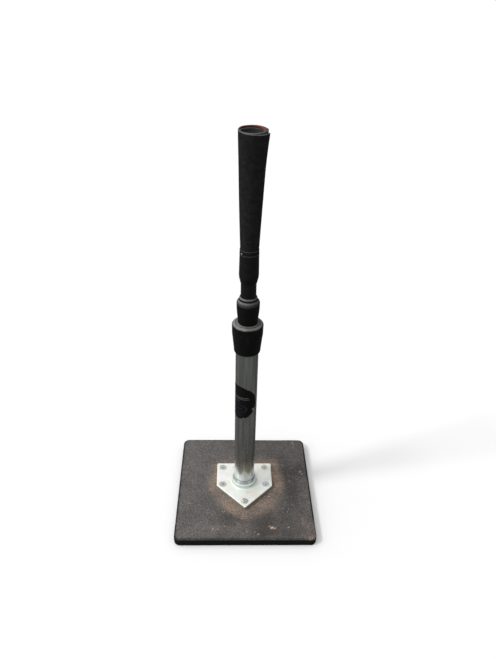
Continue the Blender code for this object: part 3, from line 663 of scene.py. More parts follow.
def black_nylon():
    mat = new_material("nylon")
    fine = mat.noise(size=1.2, detail=3.0, rough=0.6)
    broad = mat.patches(0.35, 0.7, size=8.0, detail=3.0, rough=0.6)
    colour = mat.mix(broad, (0.030, 0.030, 0.032), (0.045, 0.045, 0.048))
    normal = mat.bump(fine, distance=0.05, strength=0.5)
    rough = mat.ramp(fine, 0.3, 0.7, to=(0.42, 0.58))
    return mat.finish(mat.surface(colour, rough, normal, specular=0.3))


def weight_steel():
    """Rolled steel, streaked along X, with rust patches."""
    mat = new_material("weight_steel")
    roll = mat.noise(size=2.0, detail=4.0, rough=0.6, stretch=(0.08, 1.0, 1.0))
    rust = mat.patches(0.56, 0.72, size=17.0, detail=5.0, rough=0.65)
    colour = mat.mix(mat.ramp(roll, 0.3, 0.7), (0.36, 0.36, 0.37), (0.46, 0.46, 0.46))
    colour = mat.tint(colour, (0.22, 0.11, 0.055), rust, 0.8)
    normal = mat.bump(roll, distance=0.06, strength=0.6)
    rough = mat.ramp(rust, 0.0, 1.0, to=(0.42, 0.8))
    metallic = mat.inverse(mat.times(rust, 0.8))
    return mat.finish(mat.surface(colour, rough, normal, metallic))


# ---- the base ----
def rounded_loop(loop, half, corner):
    """Each plan point moved to the nearest point of a rounded square."""
    inner = np.clip(loop, -(half - corner), half - corner)
    away = loop - inner
    return inner + corner * away / np.maximum(np.linalg.norm(away, axis=1, keepdims=True), 1e-9)


def weather_cover(points):
    """Pebbles the top, sags its edges and dents the sides inwards, in place."""
    x, y, z = points.T
    pebble = 0.22 * (noise(points, 3.1, 5) - 0.5) + 0.16 * (noise(points, 1.9, 9) - 0.5)
    sag = 0.8 * smooth(104, 127, y) * smooth(0, 26, x + 5) * (0.4 + 0.6 * noise(points, 38.0, 3))
    sag += 0.5 * smooth(108, 127, y) * noise(points, 24.0, 8)
    sag += 0.5 * smooth(110, 127, np.abs(x)) * noise(points, 31.0, 12)
    z += smooth(12.0, 16.0, z) * (pebble - sag)
    dent = 0.35 * noise(points, 21.0, 21) * noise(points, 6.0, 22)
    dent *= smooth(118, 127, np.maximum(np.abs(x), np.abs(y)))
    points[:, :2] *= (1 - dent / np.maximum(radius_of(points), 1.0))[:, None]


def base_cover_solid():
    """A gridded top with a rolled edge, hollow underneath."""
    half, corner = BASE_SIDE / 2 - BASE_EDGE_R, BASE_CORNER_R - BASE_EDGE_R
    stations = np.linspace(-half, half, 161)
    x, y = np.meshgrid(stations, stations)
    # Bend each square corner of the grid to a round one.
    over_x, over_y = np.abs(x) - (half - corner), np.abs(y) - (half - corner)
    both = (over_x > 0) & (over_y > 0)
    reach = np.maximum(over_x, over_y)
    quarter = math.pi / 4
    with np.errstate(divide="ignore", invalid="ignore"):
        turn = np.where(
            over_x >= over_y, quarter * over_y / over_x, math.pi / 2 - quarter * over_x / over_y
        )
    turn = np.where(both, turn, 0.0)
    x = np.where(both, np.sign(x) * (half - corner + reach * np.cos(turn)), x)
    y = np.where(both, np.sign(y) * (half - corner + reach * np.sin(turn)), y)
    top = np.stack([x, y, np.full_like(x, BASE_TOP)], -1)
    made = Solid()
    index = made.grid(top)
    edge = np.concatenate([index[0, :-1], index[:-1, -1], index[-1, :0:-1], index[:0:-1, 0]])
    loop = top.reshape(-1, 3)[edge, :2]
    out = (loop - np.clip(loop, -(half - corner), half - corner)) / corner
    # (distance outside the top's edge, height) from the top round to the foot
    rows = []
    for k in range(1, 9):
        angle = math.pi / 2 * k / 8
        drop = BASE_EDGE_R * (1 - math.cos(angle))
        rows.append((BASE_EDGE_R * math.sin(angle), BASE_TOP - drop))
    rows += [(BASE_EDGE_R, z) for z in (11.6, 10.4, 9.2, 8.0, 6.8, 5.9, 5.4)]
    for angle in (0.5, 1.05, math.pi / 2):
        inward = COVER_FOOT_R * (1 - math.cos(angle))
        z = COVER_BOTTOM + COVER_FOOT_R * (1 - math.sin(angle))
        rows.append((BASE_EDGE_R - inward, z))
    rings = [np.column_stack([loop + out * reach, np.full(len(loop), z)]) for reach, z in rows]
    foot = loop + out * (BASE_EDGE_R - COVER_FOOT_R)
    pocket = rounded_loop(foot, POCKET_SIDE / 2, POCKET_CORNER_R)
    rings += [
        np.column_stack([pocket, np.full(len(loop), z)]) for z in (COVER_BOTTOM, POCKET_TOP)
    ]
    index = made.add(rings)
    made.quads(np.vstack([edge, index]), close_columns=True)
    made.cap(index[-1])

    points = np.vstack(made.points)
    beyond = np.abs(points[:, :2]).max(axis=1) >= POCKET_SIDE / 2 + 0.5
    above = points[:, 2] >= POCKET_TOP + 0.1
    live = (points[:, 2] > COVER_BOTTOM + 0.8) & (beyond | above)
    outside = points[live]
    weather_cover(outside)
    points[live] = outside
    made.points = [points + (*BASE_CENTRE, 0.0)]
    return made


def plate_distance(x, y):
    """Signed plan distance to the home-plate outline, negative inside."""
    slope = (np.abs(x - PLATE_TIP[0]) - (y - PLATE_TIP[1])) / math.sqrt(2)
    return np.maximum.reduce([x - PLATE_RIGHT, PLATE_LEFT - x, y - PLATE_BACK, slope])


# Blots on the cover: share, x, y, radius along x, radius along y, turn (degrees),
# softness of the edge, and what is added to the mottling that breaks them up.
CLAY_BLOTS = (
    (0.78, 64, 12, 11, 34, 6, 0.8, 0.3), (0.50, 40, -54, 24, 11, 42, 0.8, 0.4),
    (0.26, 14, -78, 24, 10, 15, 0.8, 0.4), (0.62, -30, -57, 26, 10, -42, 0.8, 0.4),
    (0.34, -61, 4, 10, 30, 0, 0.8, 0.3), (0.34, 38, 56, 24, 12, -6, 0.8, 0.3),
    (0.18, -34, 52, 20, 8, 4, 0.8, 0.3), (0.20, 44, -72, 22, 14, 30, 0.9, 0.0),
    (0.16, -62, -108, 34, 12, 5, 0.9, 0.0), (0.12, 30, -108, 60, 14, 0, 0.9, 0.0),
    (0.16, 103, -95, 20, 30, 0, 0.9, 0.0),
)
SMEAR_BLOTS = (
    (0.55, 90, 8, 17, 42, 6, 0.8, 0.4), (0.50, 84, -28, 18, 22, 20, 0.8, 0.4),
    (0.95, 32, -100, 17, 26, -14, 0.8, 0.5), (0.55, 80, -80, 30, 22, 20, 0.9, 0.4),
    (0.60, 70, -118, 34, 10, 4, 0.8, 0.4), (0.60, -20, -88, 40, 13, 0, 0.9, 0.3),
    (0.40, 60, 74, 40, 30, 0, 0.9, 0.4),
)
# Light specks: x, y and radius.
SPECKS = (
    (49, -107, 3.0), (54, -108.5, 2.0), (45, -104, 1.5), (113, 28, 1.9), (116, 22, 1.4),
    (47, -35, 1.5), (79, -106, 1.2), (-57, -109, 1.6), (-36, -104, 1.4), (24, -121, 1.5),
    (18, -116, 1.2),
)


def blots(points, table, mottle):
    return sum(row[0] * blot(points, *row[1:7]) * (row[7] + mottle) for row in table)


def paint_base(points):
    """A dusting, lightened towards -X by painted light, clay round the plate, darker smears and
    light specks, by place on the cover.
    """
    x, y, z = points.T
    wide = cloud(points, 60.0, 41)
    mid = cloud(points, 18.0, 51)
    from_x, from_y = np.abs(x - BASE_CENTRE[0]), np.abs(y - BASE_CENTRE[1])
    flat = BASE_SIDE / 2 - BASE_CORNER_R
    corner = np.hypot(np.maximum(from_x - flat, 0), np.maximum(from_y - flat, 0))
    inset = np.minimum(BASE_SIDE / 2 - np.maximum(from_x, from_y), BASE_CORNER_R - corner)
    dust_and_light = smooth(14.2, 16.0, z) * smooth(1.6, 4.6, inset + 1.2 * (mid - 0.5))
    # Painted light: the dusting is made lighter towards -X, the side the light comes from.
    dust_and_light *= 0.78 + 0.24 * smooth(40, -100, x) + 0.16 * (wide - 0.5)
    ring = np.exp(-((np.maximum(plate_distance(x, y), 0) / 6.5) ** 1.2))
    clay = ring * (0.10 + 1.10 * mid) * (1 - 0.35 * blot(points, 1, -72, 16, 12, 0, 0.8))
    clay += blots(points, CLAY_BLOTS, mid)
    smear = np.clip(blots(points, SMEAR_BLOTS, mid), 0, 1)
    scatter = smooth(0.78, 0.90, noise(points, 3.2, 71)) * smooth(0.42, 0.66, mid)
    speck = 0.26 * scatter
    for at_x, at_y, radius in SPECKS:
        speck = np.maximum(speck, blot(points, at_x, at_y, radius, radius * 0.75, 20, 0.5))
    # Wear on the front right corner and the front edge.
    wear = blot(points, 121, -131, 9, 6, 0, 0.6) + blot(points, 126, -110, 2.2, 22, 0, 0.6)
    wear = np.clip(wear, 0, 1)
    dust_and_light = np.maximum(dust_and_light, 0.75 * wear * smooth(12.5, 14.5, z) * (0.5 + mid))
    clay += 0.5 * wear * mid
    front = smooth(-128.5, -130.5, y) * smooth(13.6, 15.4, z)
    dust_and_light = np.maximum(dust_and_light, 0.62 * front * (0.6 + 0.5 * mid))
    top = smooth(13.8, 15.6, z)
    clay = np.clip(clay, 0, 1) * top
    return {"dust_and_light": np.clip(dust_and_light, 0, 1), "clay": clay, "speck": speck * top, "smear": smear}


def square_loop(side, corner, z, per_corner=12):
    flat = side / 2 - corner
    out = []
    for k, (sign_x, sign_y) in enumerate(((1, -1), (1, 1), (-1, 1), (-1, -1))):
        centre = (BASE_CENTRE[0] + sign_x * flat, BASE_CENTRE[1] + sign_y * flat)
        start = 90 * (k - 1)
        out += [(*place, z) for place in arc(centre, corner, start, start + 90, per_corner)]
    return out


def pad_solid():
    # (how much narrower than the base, height)
    rows = (
        (5.4, 0.0), (3.8, 0.12), (2.4, 0.5), (1.0, 1.0), (0.6, 1.5),
        (0.6, 2.4), (0.6, 3.2), (0.9, 3.9), (1.5, 4.25), (2.3, PAD_TOP),
    )
    return slab([square_loop(BASE_SIDE - less, BASE_CORNER_R - less / 2, z) for less, z in rows])


def weight_solid():
    top = WEIGHT_BOTTOM + WEIGHT_THICK
    rows = ((0.8, WEIGHT_BOTTOM), (0.0, WEIGHT_BOTTOM + 0.4), (0.0, top - 0.4), (0.8, top))
    return slab([square_loop(WEIGHT_SIDE - less, 5.5, z, 6) for less, z in rows])


# ---- the flange ----
def fillet_polygon(corners, radius, steps=8):
    points = []
    for i, corner in enumerate(corners):
        corner = Vector(corner)
        back = (Vector(corners[i - 1]) - corner).normalized()
        ahead = (Vector(corners[(i + 1) % len(corners)]) - corner).normalized()
        half = back.angle(ahead) / 2
        reach = radius / math.tan(half)
        centre = corner + (back + ahead).normalized() * (radius / math.sin(half))
        start, end = corner + back * reach - centre, corner + ahead * reach - centre
        sweep = start.angle_signed(end)
        for k in range(steps + 1):
            cosine, sine = math.cos(-sweep * k / steps), math.sin(-sweep * k / steps)
            x = centre.x + start.x * cosine - start.y * sine
            points.append((x, centre.y + start.x * sine + start.y * cosine))
    return points


def plate_loop(inset, z):
    left, right, back = PLATE_LEFT + inset, PLATE_RIGHT - inset, PLATE_BACK - inset
    tip_x, tip_y = PLATE_TIP[0], PLATE_TIP[1] + inset * math.sqrt(2)
    right_front = (right, tip_y + right - tip_x)
    left_front = (left, tip_y + tip_x - left)
    corners = [(tip_x, tip_y), right_front, (right, back), (left, back), left_front]
    return [(x, y, z) for x, y in fillet_polygon(corners, max(2.0 - inset, 0.45))]


def flange_solids():
    """The plate, and the Booleans that add the boss and cut the socket and screw holes."""
    # (inset, height)
    rows = (
        (0.5, FLANGE_BOTTOM), (0.15, FLANGE_BOTTOM + 0.12), (0.0, FLANGE_BOTTOM + 0.4),
        (0.0, 23.5), (0.05, 23.72), (0.16, 23.92), (0.34, 24.12), (0.5, 24.24),
        (0.72, FLANGE_TOP),
    )
    plate = slab([plate_loop(inset, z) for inset, z in rows])
    below = FLANGE_BOTTOM - 5.0
    profile = [(BOSS_R + BOSS_FILLET + 0.3, FLANGE_TOP - 3.0)]
    profile += arc((BOSS_R + BOSS_FILLET, FLANGE_TOP + BOSS_FILLET), BOSS_FILLET, 262, 180, 10)
    profile += [(BOSS_R, 28.8), (BOSS_R, 30.6)]
    profile += arc((BOSS_R - 0.9, BOSS_TOP - 0.9), 0.9, 0, 90, 6)
    socket = [
        (SOCKET_R, below), (SOCKET_R, BOSS_TOP - 0.75), (SOCKET_R + 0.15, BOSS_TOP - 0.45),
        (SOCKET_R + 0.6, BOSS_TOP), (SOCKET_R + 3.4, BOSS_TOP + 2.8),
    ]
    others = [("UNION", stacked(profile, 128)), ("DIFFERENCE", stacked(socket, 128))]
    clear, head = SCREW_R + SCREW_CLEAR, SCREW_HEAD_R + SCREW_CLEAR
    neck = SCREW_HEAD_Z - (SCREW_HEAD_R - SCREW_R)
    hole = [
        (clear, below), (clear, neck - 0.3), (head, SCREW_HEAD_Z - 0.3),
        (head + 0.05, FLANGE_TOP - 0.12), (head + 0.30, FLANGE_TOP + 0.12),
        (head + 0.30, FLANGE_TOP + 5.0),
    ]
    return plate, others + [("DIFFERENCE", stacked(hole, 72, place)) for place in SCREW_XY]


def screw_solid(x, y, turn):
    """Head with a tapered cross recess as a height field, over a cone and a ridged shank."""
    angles = around(96)
    arm_reach = 3.55
    head = []
    for radius in np.linspace(SCREW_HEAD_R - 0.25, 0.12, 36):
        along = np.abs(radius * np.cos(angles - turn))
        across = np.abs(radius * np.sin(angles - turn))
        arm = 0.82 - 0.10 * np.maximum(along, across) / 3.5
        outside = np.minimum(
            np.maximum(along - arm_reach, across - arm), np.maximum(across - arm_reach, along - arm)
        )
        depth = 1.7 * smooth(0.0, 0.62, -outside) * (1 - 0.45 * smooth(1.0, 3.6, radius))
        crown = 0.10 * (1 - (radius / SCREW_HEAD_R) ** 2)
        z = SCREW_HEAD_Z - 0.10 + crown - depth
        head.append(
            np.column_stack([x + radius * np.cos(angles), y + radius * np.sin(angles), z])
        )
    foot = SCREW_HEAD_Z - SCREW_LENGTH
    neck = SCREW_HEAD_Z - (SCREW_HEAD_R - SCREW_R)
    profile = [(SCREW_R - 0.7, foot), (SCREW_R, foot + 0.8)]
    z = foot + 0.8
    while z < neck - 2.2:
        profile += [(SCREW_R - 0.34, z + 0.35), (SCREW_R, z + 0.7), (SCREW_R, z + 0.85)]
        z += 1.06
    profile += [
        (SCREW_R, neck - 0.4), (SCREW_R + 0.15, neck + 0.1),
        (SCREW_HEAD_R - 0.05, SCREW_HEAD_Z - 0.45), (SCREW_HEAD_R, SCREW_HEAD_Z - 0.32),
        (SCREW_HEAD_R - 0.06, SCREW_HEAD_Z - 0.18),
    ]
    made = Solid()
    rows = list(stack_rows(profile, angles, (x, y))) + head
    index = made.grid(rows, close_columns=True)
    made.cap(index[0][::-1])
    made.fan(index[-1], (x, y, SCREW_HEAD_Z - 2.5))
    return made


def ferrule_profile():
    """A threaded ring round the foot of the lower tube."""
    profile = [(12.3, 17.2), (20.0, 17.2)]
    z = 17.9
    while z < 28.4:
        profile += [(20.8, z), (20.8, z + 0.35), (20.45, z + 0.8)]
        z += 1.15
    profile += [(20.8, 29.6), (20.8, 30.5)] + arc((20.25, 30.65), 0.55, 0, 90, 6)
    profile += [(19.9, 31.2)] + arc((19.65, 30.9), 0.3, 90, 180, 4)
    profile += [(19.35, 28.0), (19.35, 24.0), (19.35, 20.2)]
    return profile + [(12.3, 20.2), (12.0, 19.9), (12.0, 17.5)]


def paint_ferrule(points):
    azimuth = np.degrees(azimuth_of(points))
    glint = np.zeros(len(points))
    # (azimuth, half width, share) of each painted glint on the ring
    for at, wide, share in (
        (-33.0, 5.0, 1.0), (33.0, 5.5, 1.0), (-66.0, 4.0, 0.55), (74.0, 5.0, 0.5),
        (-12.0, 3.0, 0.25), (128.0, 9.0, 0.6), (-140.0, 8.0, 0.6),
    ):
        glint = np.maximum(glint, share * bell(azimuth, at, wide))
    return {"glint": np.clip(glint, 0, 1) * smooth(29.2, 30.2, points[:, 2])}


# ---- tubes, collars and bushes ----
def lower_tube_profile():
    radius, bore = LOWER_R, LOWER_R - LOWER_WALL
    bottom, top, fine_to = LOWER_BOTTOM, LOWER_TOP, 60.0
    profile = [(bore, bottom + 0.3), (bore + 0.3, bottom), (radius - 0.4, bottom)]
    profile += line((radius, bottom + 0.4), (radius, fine_to), 0.8)
    profile += line((radius, fine_to), (radius, top - 0.35), 2.5)
    profile += [(radius, top - 0.35), (radius - 0.12, top - 0.1), (radius - 0.35, top)]
    profile += [(bore + 0.2, top), (bore, top - 0.2)]
    return profile + line((bore, top - 1.0), (bore, bottom + 1.0), 12.0)


# Azimuth (degrees) and height of the scalloped upper edge of the painted reflection that brightens
# the foot.
REFLECTION_EDGE = (
    (-180, 56), (-95, 66), (-75, 70), (-58, 66), (-42, 60), (-28, 55), (-12, 57), (-2, 64),
    (8, 63), (16, 54), (26, 49), (38, 50), (50, 57), (62, 62), (80, 66), (110, 60), (180, 56),
)
# Azimuth (degrees) and darkness of the painted reflection's dark bands on the foot.
REFLECTION_BANDS = (
    (-180, 0.3), (-62, 0.1), (-52, 0.35), (-30, 0.25), (-14, 0.1), (-4, 0.35), (4, 0.45),
    (14, 0.4), (24, 0.15), (34, 0.0), (44, 0.35), (52, 0.8), (60, 0.65), (70, 0.2), (180, 0.3),
)
# Azimuth (degrees), height, half width, half height and share of each painted glint.
TUBE_GLINTS = (
    (-34.0, 35.8, 10.0, 2.0, 1.0), (33.0, 35.0, 10.0, 2.0, 1.0), (-58.0, 38.8, 5.0, 1.0, 0.5),
    (68.0, 38.0, 5.0, 1.0, 0.45), (150.0, 36.0, 7.0, 1.1, 0.6), (-130.0, 36.0, 7.0, 1.1, 0.6),
)


def paint_tube(points):
    """A painted reflection of the flange that brightens the foot up to a scalloped edge, painted
    shade in streaks on the right side above it, a dark line with a darker band below it, and
    painted glints with painted light on the lowest band.
    """
    z = points[:, 2]
    azimuth = np.degrees(azimuth_of(points))
    top = np.interp(azimuth, *zip(*REFLECTION_EDGE))
    top += 2.5 * (cloud(points * (1, 1, 0.2), 5.0, 77, 3) - 0.5)
    foot = 1 - smooth(-5.0, 5.0, z - top)
    right = smooth(35, 75, azimuth) * (1 - smooth(100, 130, azimuth))
    streaks = 0.6 + 0.6 * cloud(points * (1, 1, 0.05), 7.0, 79, 3)
    bands = foot * np.interp(azimuth, *zip(*REFLECTION_BANDS))
    # Painted shade: above the foot, streaked and darkest on the right side; on the foot, the
    # painted reflection's dark bands.
    shade = np.maximum(bands, (1 - foot) * (0.20 + 1.5 * right) * streaks)
    ring = bell(z, 39.6, 1.1) * (1 - smooth(70, 100, np.abs(azimuth)))
    ring = np.maximum(ring, 0.36 * smooth(33.0, 34.5, z) * (1 - smooth(38.0, 39.0, z)))
    # Painted light on the band just above the ferrule, then painted glints.
    glint = 0.35 * (1 - smooth(33.2, 35.0, z))
    for at, at_z, wide, tall, share in TUBE_GLINTS:
        glint = np.maximum(glint, share * bell(azimuth, at, wide) * bell(z, at_z, tall))
    masks = {"foot": foot, "shade": shade, "glint": glint, "ring": ring}
    return {key: np.clip(values, 0, 1) for key, values in masks.items()}


def stage_profile(radius, wall, bottom, top, bead_z, lip_rise, bead_rise):
    """A tube with a lip at its foot and a bead round it at bead_z."""
    lip, bead, bore = radius + lip_rise, radius + bead_rise, radius - wall
    profile = [
        (bore, bottom + 0.2), (bore + 0.2, bottom), (lip - 0.25, bottom), (lip, bottom + 0.25),
        (lip, bottom + 1.2), (lip - 0.3, bottom + 1.5), (radius, bottom + 1.5),
    ]
    profile += line((radius, bottom + 3.0), (radius, bead_z - 0.2), 8.0)
    profile += [
        (radius, bead_z), (radius + bead_rise * 0.55, bead_z + 0.35), (bead - 0.05, bead_z + 0.9),
        (bead, bead_z + 1.3), (bead - 0.05, bead_z + 1.7),
        (radius + bead_rise * 0.5, bead_z + 2.2), (radius, bead_z + 2.6),
    ]
    profile += line((radius, bead_z + 4.0), (radius, top - 1.0), 8.0)
    profile += [(radius, top - 0.3), (radius - 0.1, top - 0.08), (radius - 0.3, top)]
    profile += [(bore + 0.1, top), (bore, top - 0.1)]
    return profile + line((bore, top - 2.0), (bore, bottom + 2.0), 12.0)


def lower_collar_profile():
    bottom = 330.0
    body = [(19.35, bottom + 0.15), (19.55, bottom), (20.5, bottom)]
    body += arc((20.55, bottom + 1.45), 1.45, -84, -8, 6)
    flank = [
        (22.04, 331.8), (22.2, 333.2), (22.45, 337.5), (22.9, 341.7), (23.5, 347.6),
        (24.0, 352.0), (24.38, 356.4), (24.95, 360.6), (25.33, 364.6), (25.44, 370.0),
        (25.5, 375.0),
    ]
    body += curve(flank, 1.1) + [(25.62, 376.1), (25.65, 377.2), (25.65, 378.8)]
    shoulder = arc((23.65, 380.2), 2.0, 4, 62, 9)
    ledge = curve([(24.2, 382.32), (23.0, 382.98), (21.6, 383.62), (20.75, 384.02)], 0.6)
    ledge += [
        (20.45, 384.10), (20.22, 383.98), (20.05, 384.02), (19.8, 384.35), (19.3, 384.75),
        (18.6, 384.93), (17.6, 385.0), (16.8, 385.0),
    ]
    ledge += arc((16.1, 384.3), 0.7, 80, 180, 6)
    inside = [
        (15.4, 382.0), (15.4, 377.9), (15.7, 377.6), (17.9, 377.6), (18.1, 377.4),
        (18.1, LOWER_TOP + 0.5), (18.3, LOWER_TOP + 0.3), (19.15, LOWER_TOP + 0.3),
        (19.35, LOWER_TOP + 0.1),
    ]
    return body + shoulder + ledge + inside + line((19.35, 370.0), (19.35, 332.0), 9.0)


def paint_lower_collar(points):
    """A dusty ledge, made brightest on the front left by painted light."""
    z = points[:, 2]
    azimuth, mid = azimuth_of(points), cloud(points, 7.0, 81)
    radius = radius_of(points)
    up = smooth(381.0, 382.9, z + 1.0 * (mid - 0.5)) * smooth(15.5, 16.1, radius)
    # Painted light: the ledge is lightened where it faces the front left, towards the light.
    dust_and_light = up * (0.62 + 0.58 * facing(azimuth, -62) ** 1.6) * (0.62 + 0.76 * mid)
    dust_and_light *= 1 - 0.18 * bell(np.degrees(azimuth), 0, 26)
    dust_and_light *= 1 - np.clip(0.95 * bell(radius, 20.2, 0.5) * (0.7 + 0.5 * mid), 0, 1)
    dust_and_light *= 1 - 0.30 * smooth(20.6, 19.6, radius)
    dust_and_light += 0.05 * smooth(0.52, 0.75, mid) * smooth(335, 372, z) * (1 - up)
    return {"dust_and_light": np.clip(dust_and_light, 0, 1)}


def upper_collar_profile():
    flank = [
        (16.1, 385.8), (16.42, 386.7), (16.5, 388.6), (16.62, 391.0), (16.95, 395.4),
        (17.35, 399.2), (17.75, 402.8), (18.05, 406.5), (18.3, 410.0), (18.48, 414.0),
        (18.55, 418.0), (18.52, 420.7), (18.3, 422.3), (17.75, 423.55), (16.9, 424.7),
        (15.9, 425.85), (15.25, 426.45), (14.9, 426.62), (14.65, 426.52),
    ]
    lip = [
        (14.46, 426.25), (14.34, 426.3), (14.30, 426.9), (14.33, 428.3), (14.32, 429.7),
        (14.22, 430.6), (13.98, 431.35), (13.6, 431.85), (13.25, 432.0), (13.0, 431.92),
        (12.85, 431.65), (12.8, 431.2),
    ]
    inside = [
        (12.8, 428.5), (12.8, 425.0), (12.8, 422.95), (13.0, 422.8), (14.9, 422.8),
        (15.1, 422.6),
    ]
    profile = [(15.1, 385.75), (15.25, 385.6), (15.7, 385.6)] + curve(flank, 0.55)
    return profile + lip + inside + line((15.1, 420.0), (15.1, 387.0), 8.0)


def paint_upper_collar(points):
    """A dusty sloping shoulder and lip, lightened towards the left by painted light."""
    azimuth, mid = azimuth_of(points), cloud(points, 5.0, 91)
    radius, left = radius_of(points), facing(azimuth, -60)
    height = points[:, 2]
    ragged = height + 1.0 * (mid - 0.5)
    slope = 0.46 * smooth(422.9, 425.4, ragged) + 0.26 * smooth(417.6, 422.0, ragged)
    slope *= (1 - smooth(426.35, 426.6, height)) * smooth(14.75, 15.05, radius)
    lip = smooth(428.7, 430.2, height) * smooth(12.85, 13.1, radius) * 0.98
    # Painted light: shoulder and lip are lightest where they face the left.
    dust_and_light = np.maximum(slope * (0.33 + 0.72 * left**1.4), lip * (0.34 + 0.66 * left**1.3))
    return {"dust_and_light": np.clip(dust_and_light * (0.72 + 0.55 * mid), 0, 1)}


def bush_solid(inner, outer, bottom, top):
    """A guide bush: a plastic sleeve slit along its length, with eased ends."""
    profile = [(inner + 0.35, bottom), (outer - 0.35, bottom), (outer, bottom + 0.5)]
    profile += line((outer, bottom + 3.0), (outer, top - 1.0), 10.0)
    profile += [(outer, top - 0.5), (outer - 0.35, top), (inner + 0.35, top)]
    profile += [(inner, top - 0.5), (inner, bottom + 0.5)]
    half_slit = 4.0
    angles = np.radians(np.linspace(half_slit, 360 - half_slit, 96))
    made = Solid()
    index = made.grid(spin(profile, angles), close_columns=True)
    made.cap(index[0])
    made.cap(index[-1][::-1])
    return made


def rounded_ring(inner, outer, bottom, top, ease):
    profile = []
    for radius, z, start in (
        (outer - ease, bottom + ease, -90), (outer - ease, top - ease, 0),
        (inner + ease, top - ease, 90), (inner + ease, bottom + ease, 180),
    ):
        profile += arc((radius, z), ease, start, start + 90, 5)
    return profile


def liner_profile(inner, outer, bottom, top):
    profile = [(inner + 0.3, bottom), (outer - 0.3, bottom), (outer, bottom + 0.4)]
    profile += line((outer, bottom + 3.0), (outer, top - 2.0), 9.0)
    profile += [(outer, top - 0.4), (outer - 0.3, top), (inner + 0.3, top), (inner, top - 0.4)]
    return profile + line((inner, top - 2.0), (inner, bottom + 1.0), 9.0)


# ---- the label ----
# Torn places: angle on the disc (degrees, from its right, up), half width and depth.
LABEL_TEARS = (
    (-25.0, 5.0, 2.6), (-31.0, 3.0, 1.4), (-69.0, 2.4, 0.9), (12.0, 2.2, 0.6),
    (-48.0, 3.0, 0.5), (58.0, 2.6, 0.5), (-98.0, 4.0, 0.7), (131.0, 5.0, 0.9),
    (176.0, 4.0, 0.7), (-150.0, 5.0, 0.8),
)


def label_edge(angles):
    """The disc's radius at each angle: round, with torn places."""
    radius = np.full_like(angles, LABEL_R)
    for at, wide, deep in LABEL_TEARS:
        away = (np.degrees(angles) - at + 180) % 360 - 180
        radius -= deep * bell(away, 0, wide) ** 1.6
    ripple = (0.5 + 0.5 * np.sin(23 * angles + 1.0)) * (0.5 + 0.5 * np.sin(7 * angles))
    return radius - 0.12 * ripple


def label_solid():
    """A thin disc wrapped on the lower tube: its underside outwards, then its face inwards."""
    angles = around(240)
    edge = label_edge(angles)
    under, over = 0.02, 0.20
    shares = np.linspace(0.0, 1.0, 45)[1:]
    stations = [(share, under) for share in shares]
    stations += [(share, over - 0.05 * (share == 1.0)) for share in shares[::-1]]
    rows = []
    for share, lift in stations:
        reach = edge * share
        azimuth = LABEL_AZIMUTH + reach * np.cos(angles) / LOWER_R
        curl = 0.16 * smooth(0.93, 1.0, share) * (0.4 + 0.6 * np.sin(5 * angles + 0.6) ** 2)
        radius = LOWER_R + lift + curl
        z = LABEL_Z + reach * np.sin(angles)
        rows.append(np.column_stack([radius * np.sin(azimuth), -radius * np.cos(azimuth), z]))
    made = Solid()
    index = made.grid(rows, close_columns=True)
    for row, radius in ((index[0], LOWER_R + under), (index[-1], LOWER_R + over)):
        centre = (radius * math.sin(LABEL_AZIMUTH), -radius * math.cos(LABEL_AZIMUTH), LABEL_Z)
        made.fan(row, centre)
    return made


def paint_label(points):
    """Plain worn print: two bars, a thin oval and short bars, with no lettering."""
    along = (azimuth_of(points) - LABEL_AZIMUTH) * LOWER_R
    up = points[:, 2] - LABEL_Z

    def band(value, low, high, soft):
        return smooth(low - soft, low + soft, value) * (1 - smooth(high - soft, high + soft, value))

    def bar(left, right, low, high, lean=0.25):
        return band(along - lean * (up - low), left, right, 0.5) * band(up, low, high, 0.35)

    def chipped(near, far, at, at_up, half_width, half_height):
        away = np.hypot((along - at) / half_width, (up - at_up) / half_height)
        return 1 - smooth(near, far, away)

    mark = bar(-24.0, 20.5, 10.8, 12.5) + bar(-24.0, 22.0, 7.6, 9.0)
    mark += 0.55 * bar(-16.0, 5.0, 2.6, 4.1)
    oval = np.abs(np.hypot(along / 17.0, (up + 12.5) / 8.5) - 1.0)
    faint = (1 - smooth(0.035, 0.085, oval)) + 0.7 * bar(-9.0, 9.0, -14.0, -11.6, 0.0)
    faint += 0.8 * bar(-6.0, 9.5, -27.8, -26.2, 0.0)
    chip = np.maximum.reduce([
        chipped(0.8, 1.5, 29.4, -14.6, 1.7, 1.4),
        chipped(0.6, 1.2, 12.2, -32.6, 1.3, 0.9),
        0.6 * chipped(0.5, 1.0, 17.5, 30.4, 0.8, 0.6),
    ])
    masks = {"mark": mark, "faint": faint, "chip": chip}
    return {key: np.clip(values, 0, 1) for key, values in masks.items()}


# ---- the sleeve below the cone ----
def sleeve_outer(z):
    z = np.asarray(z, float)
    low = 13.0 + 2.6 * (z - SLEEVE_BOTTOM) / (SLEEVE_TAPER_TOP - SLEEVE_BOTTOM)
    high = 15.6 - 0.85 * (z - SLEEVE_TAPER_TOP) / (SLEEVE_TOP - SLEEVE_TAPER_TOP)
    return np.where(z < SLEEVE_TAPER_TOP, low, high)


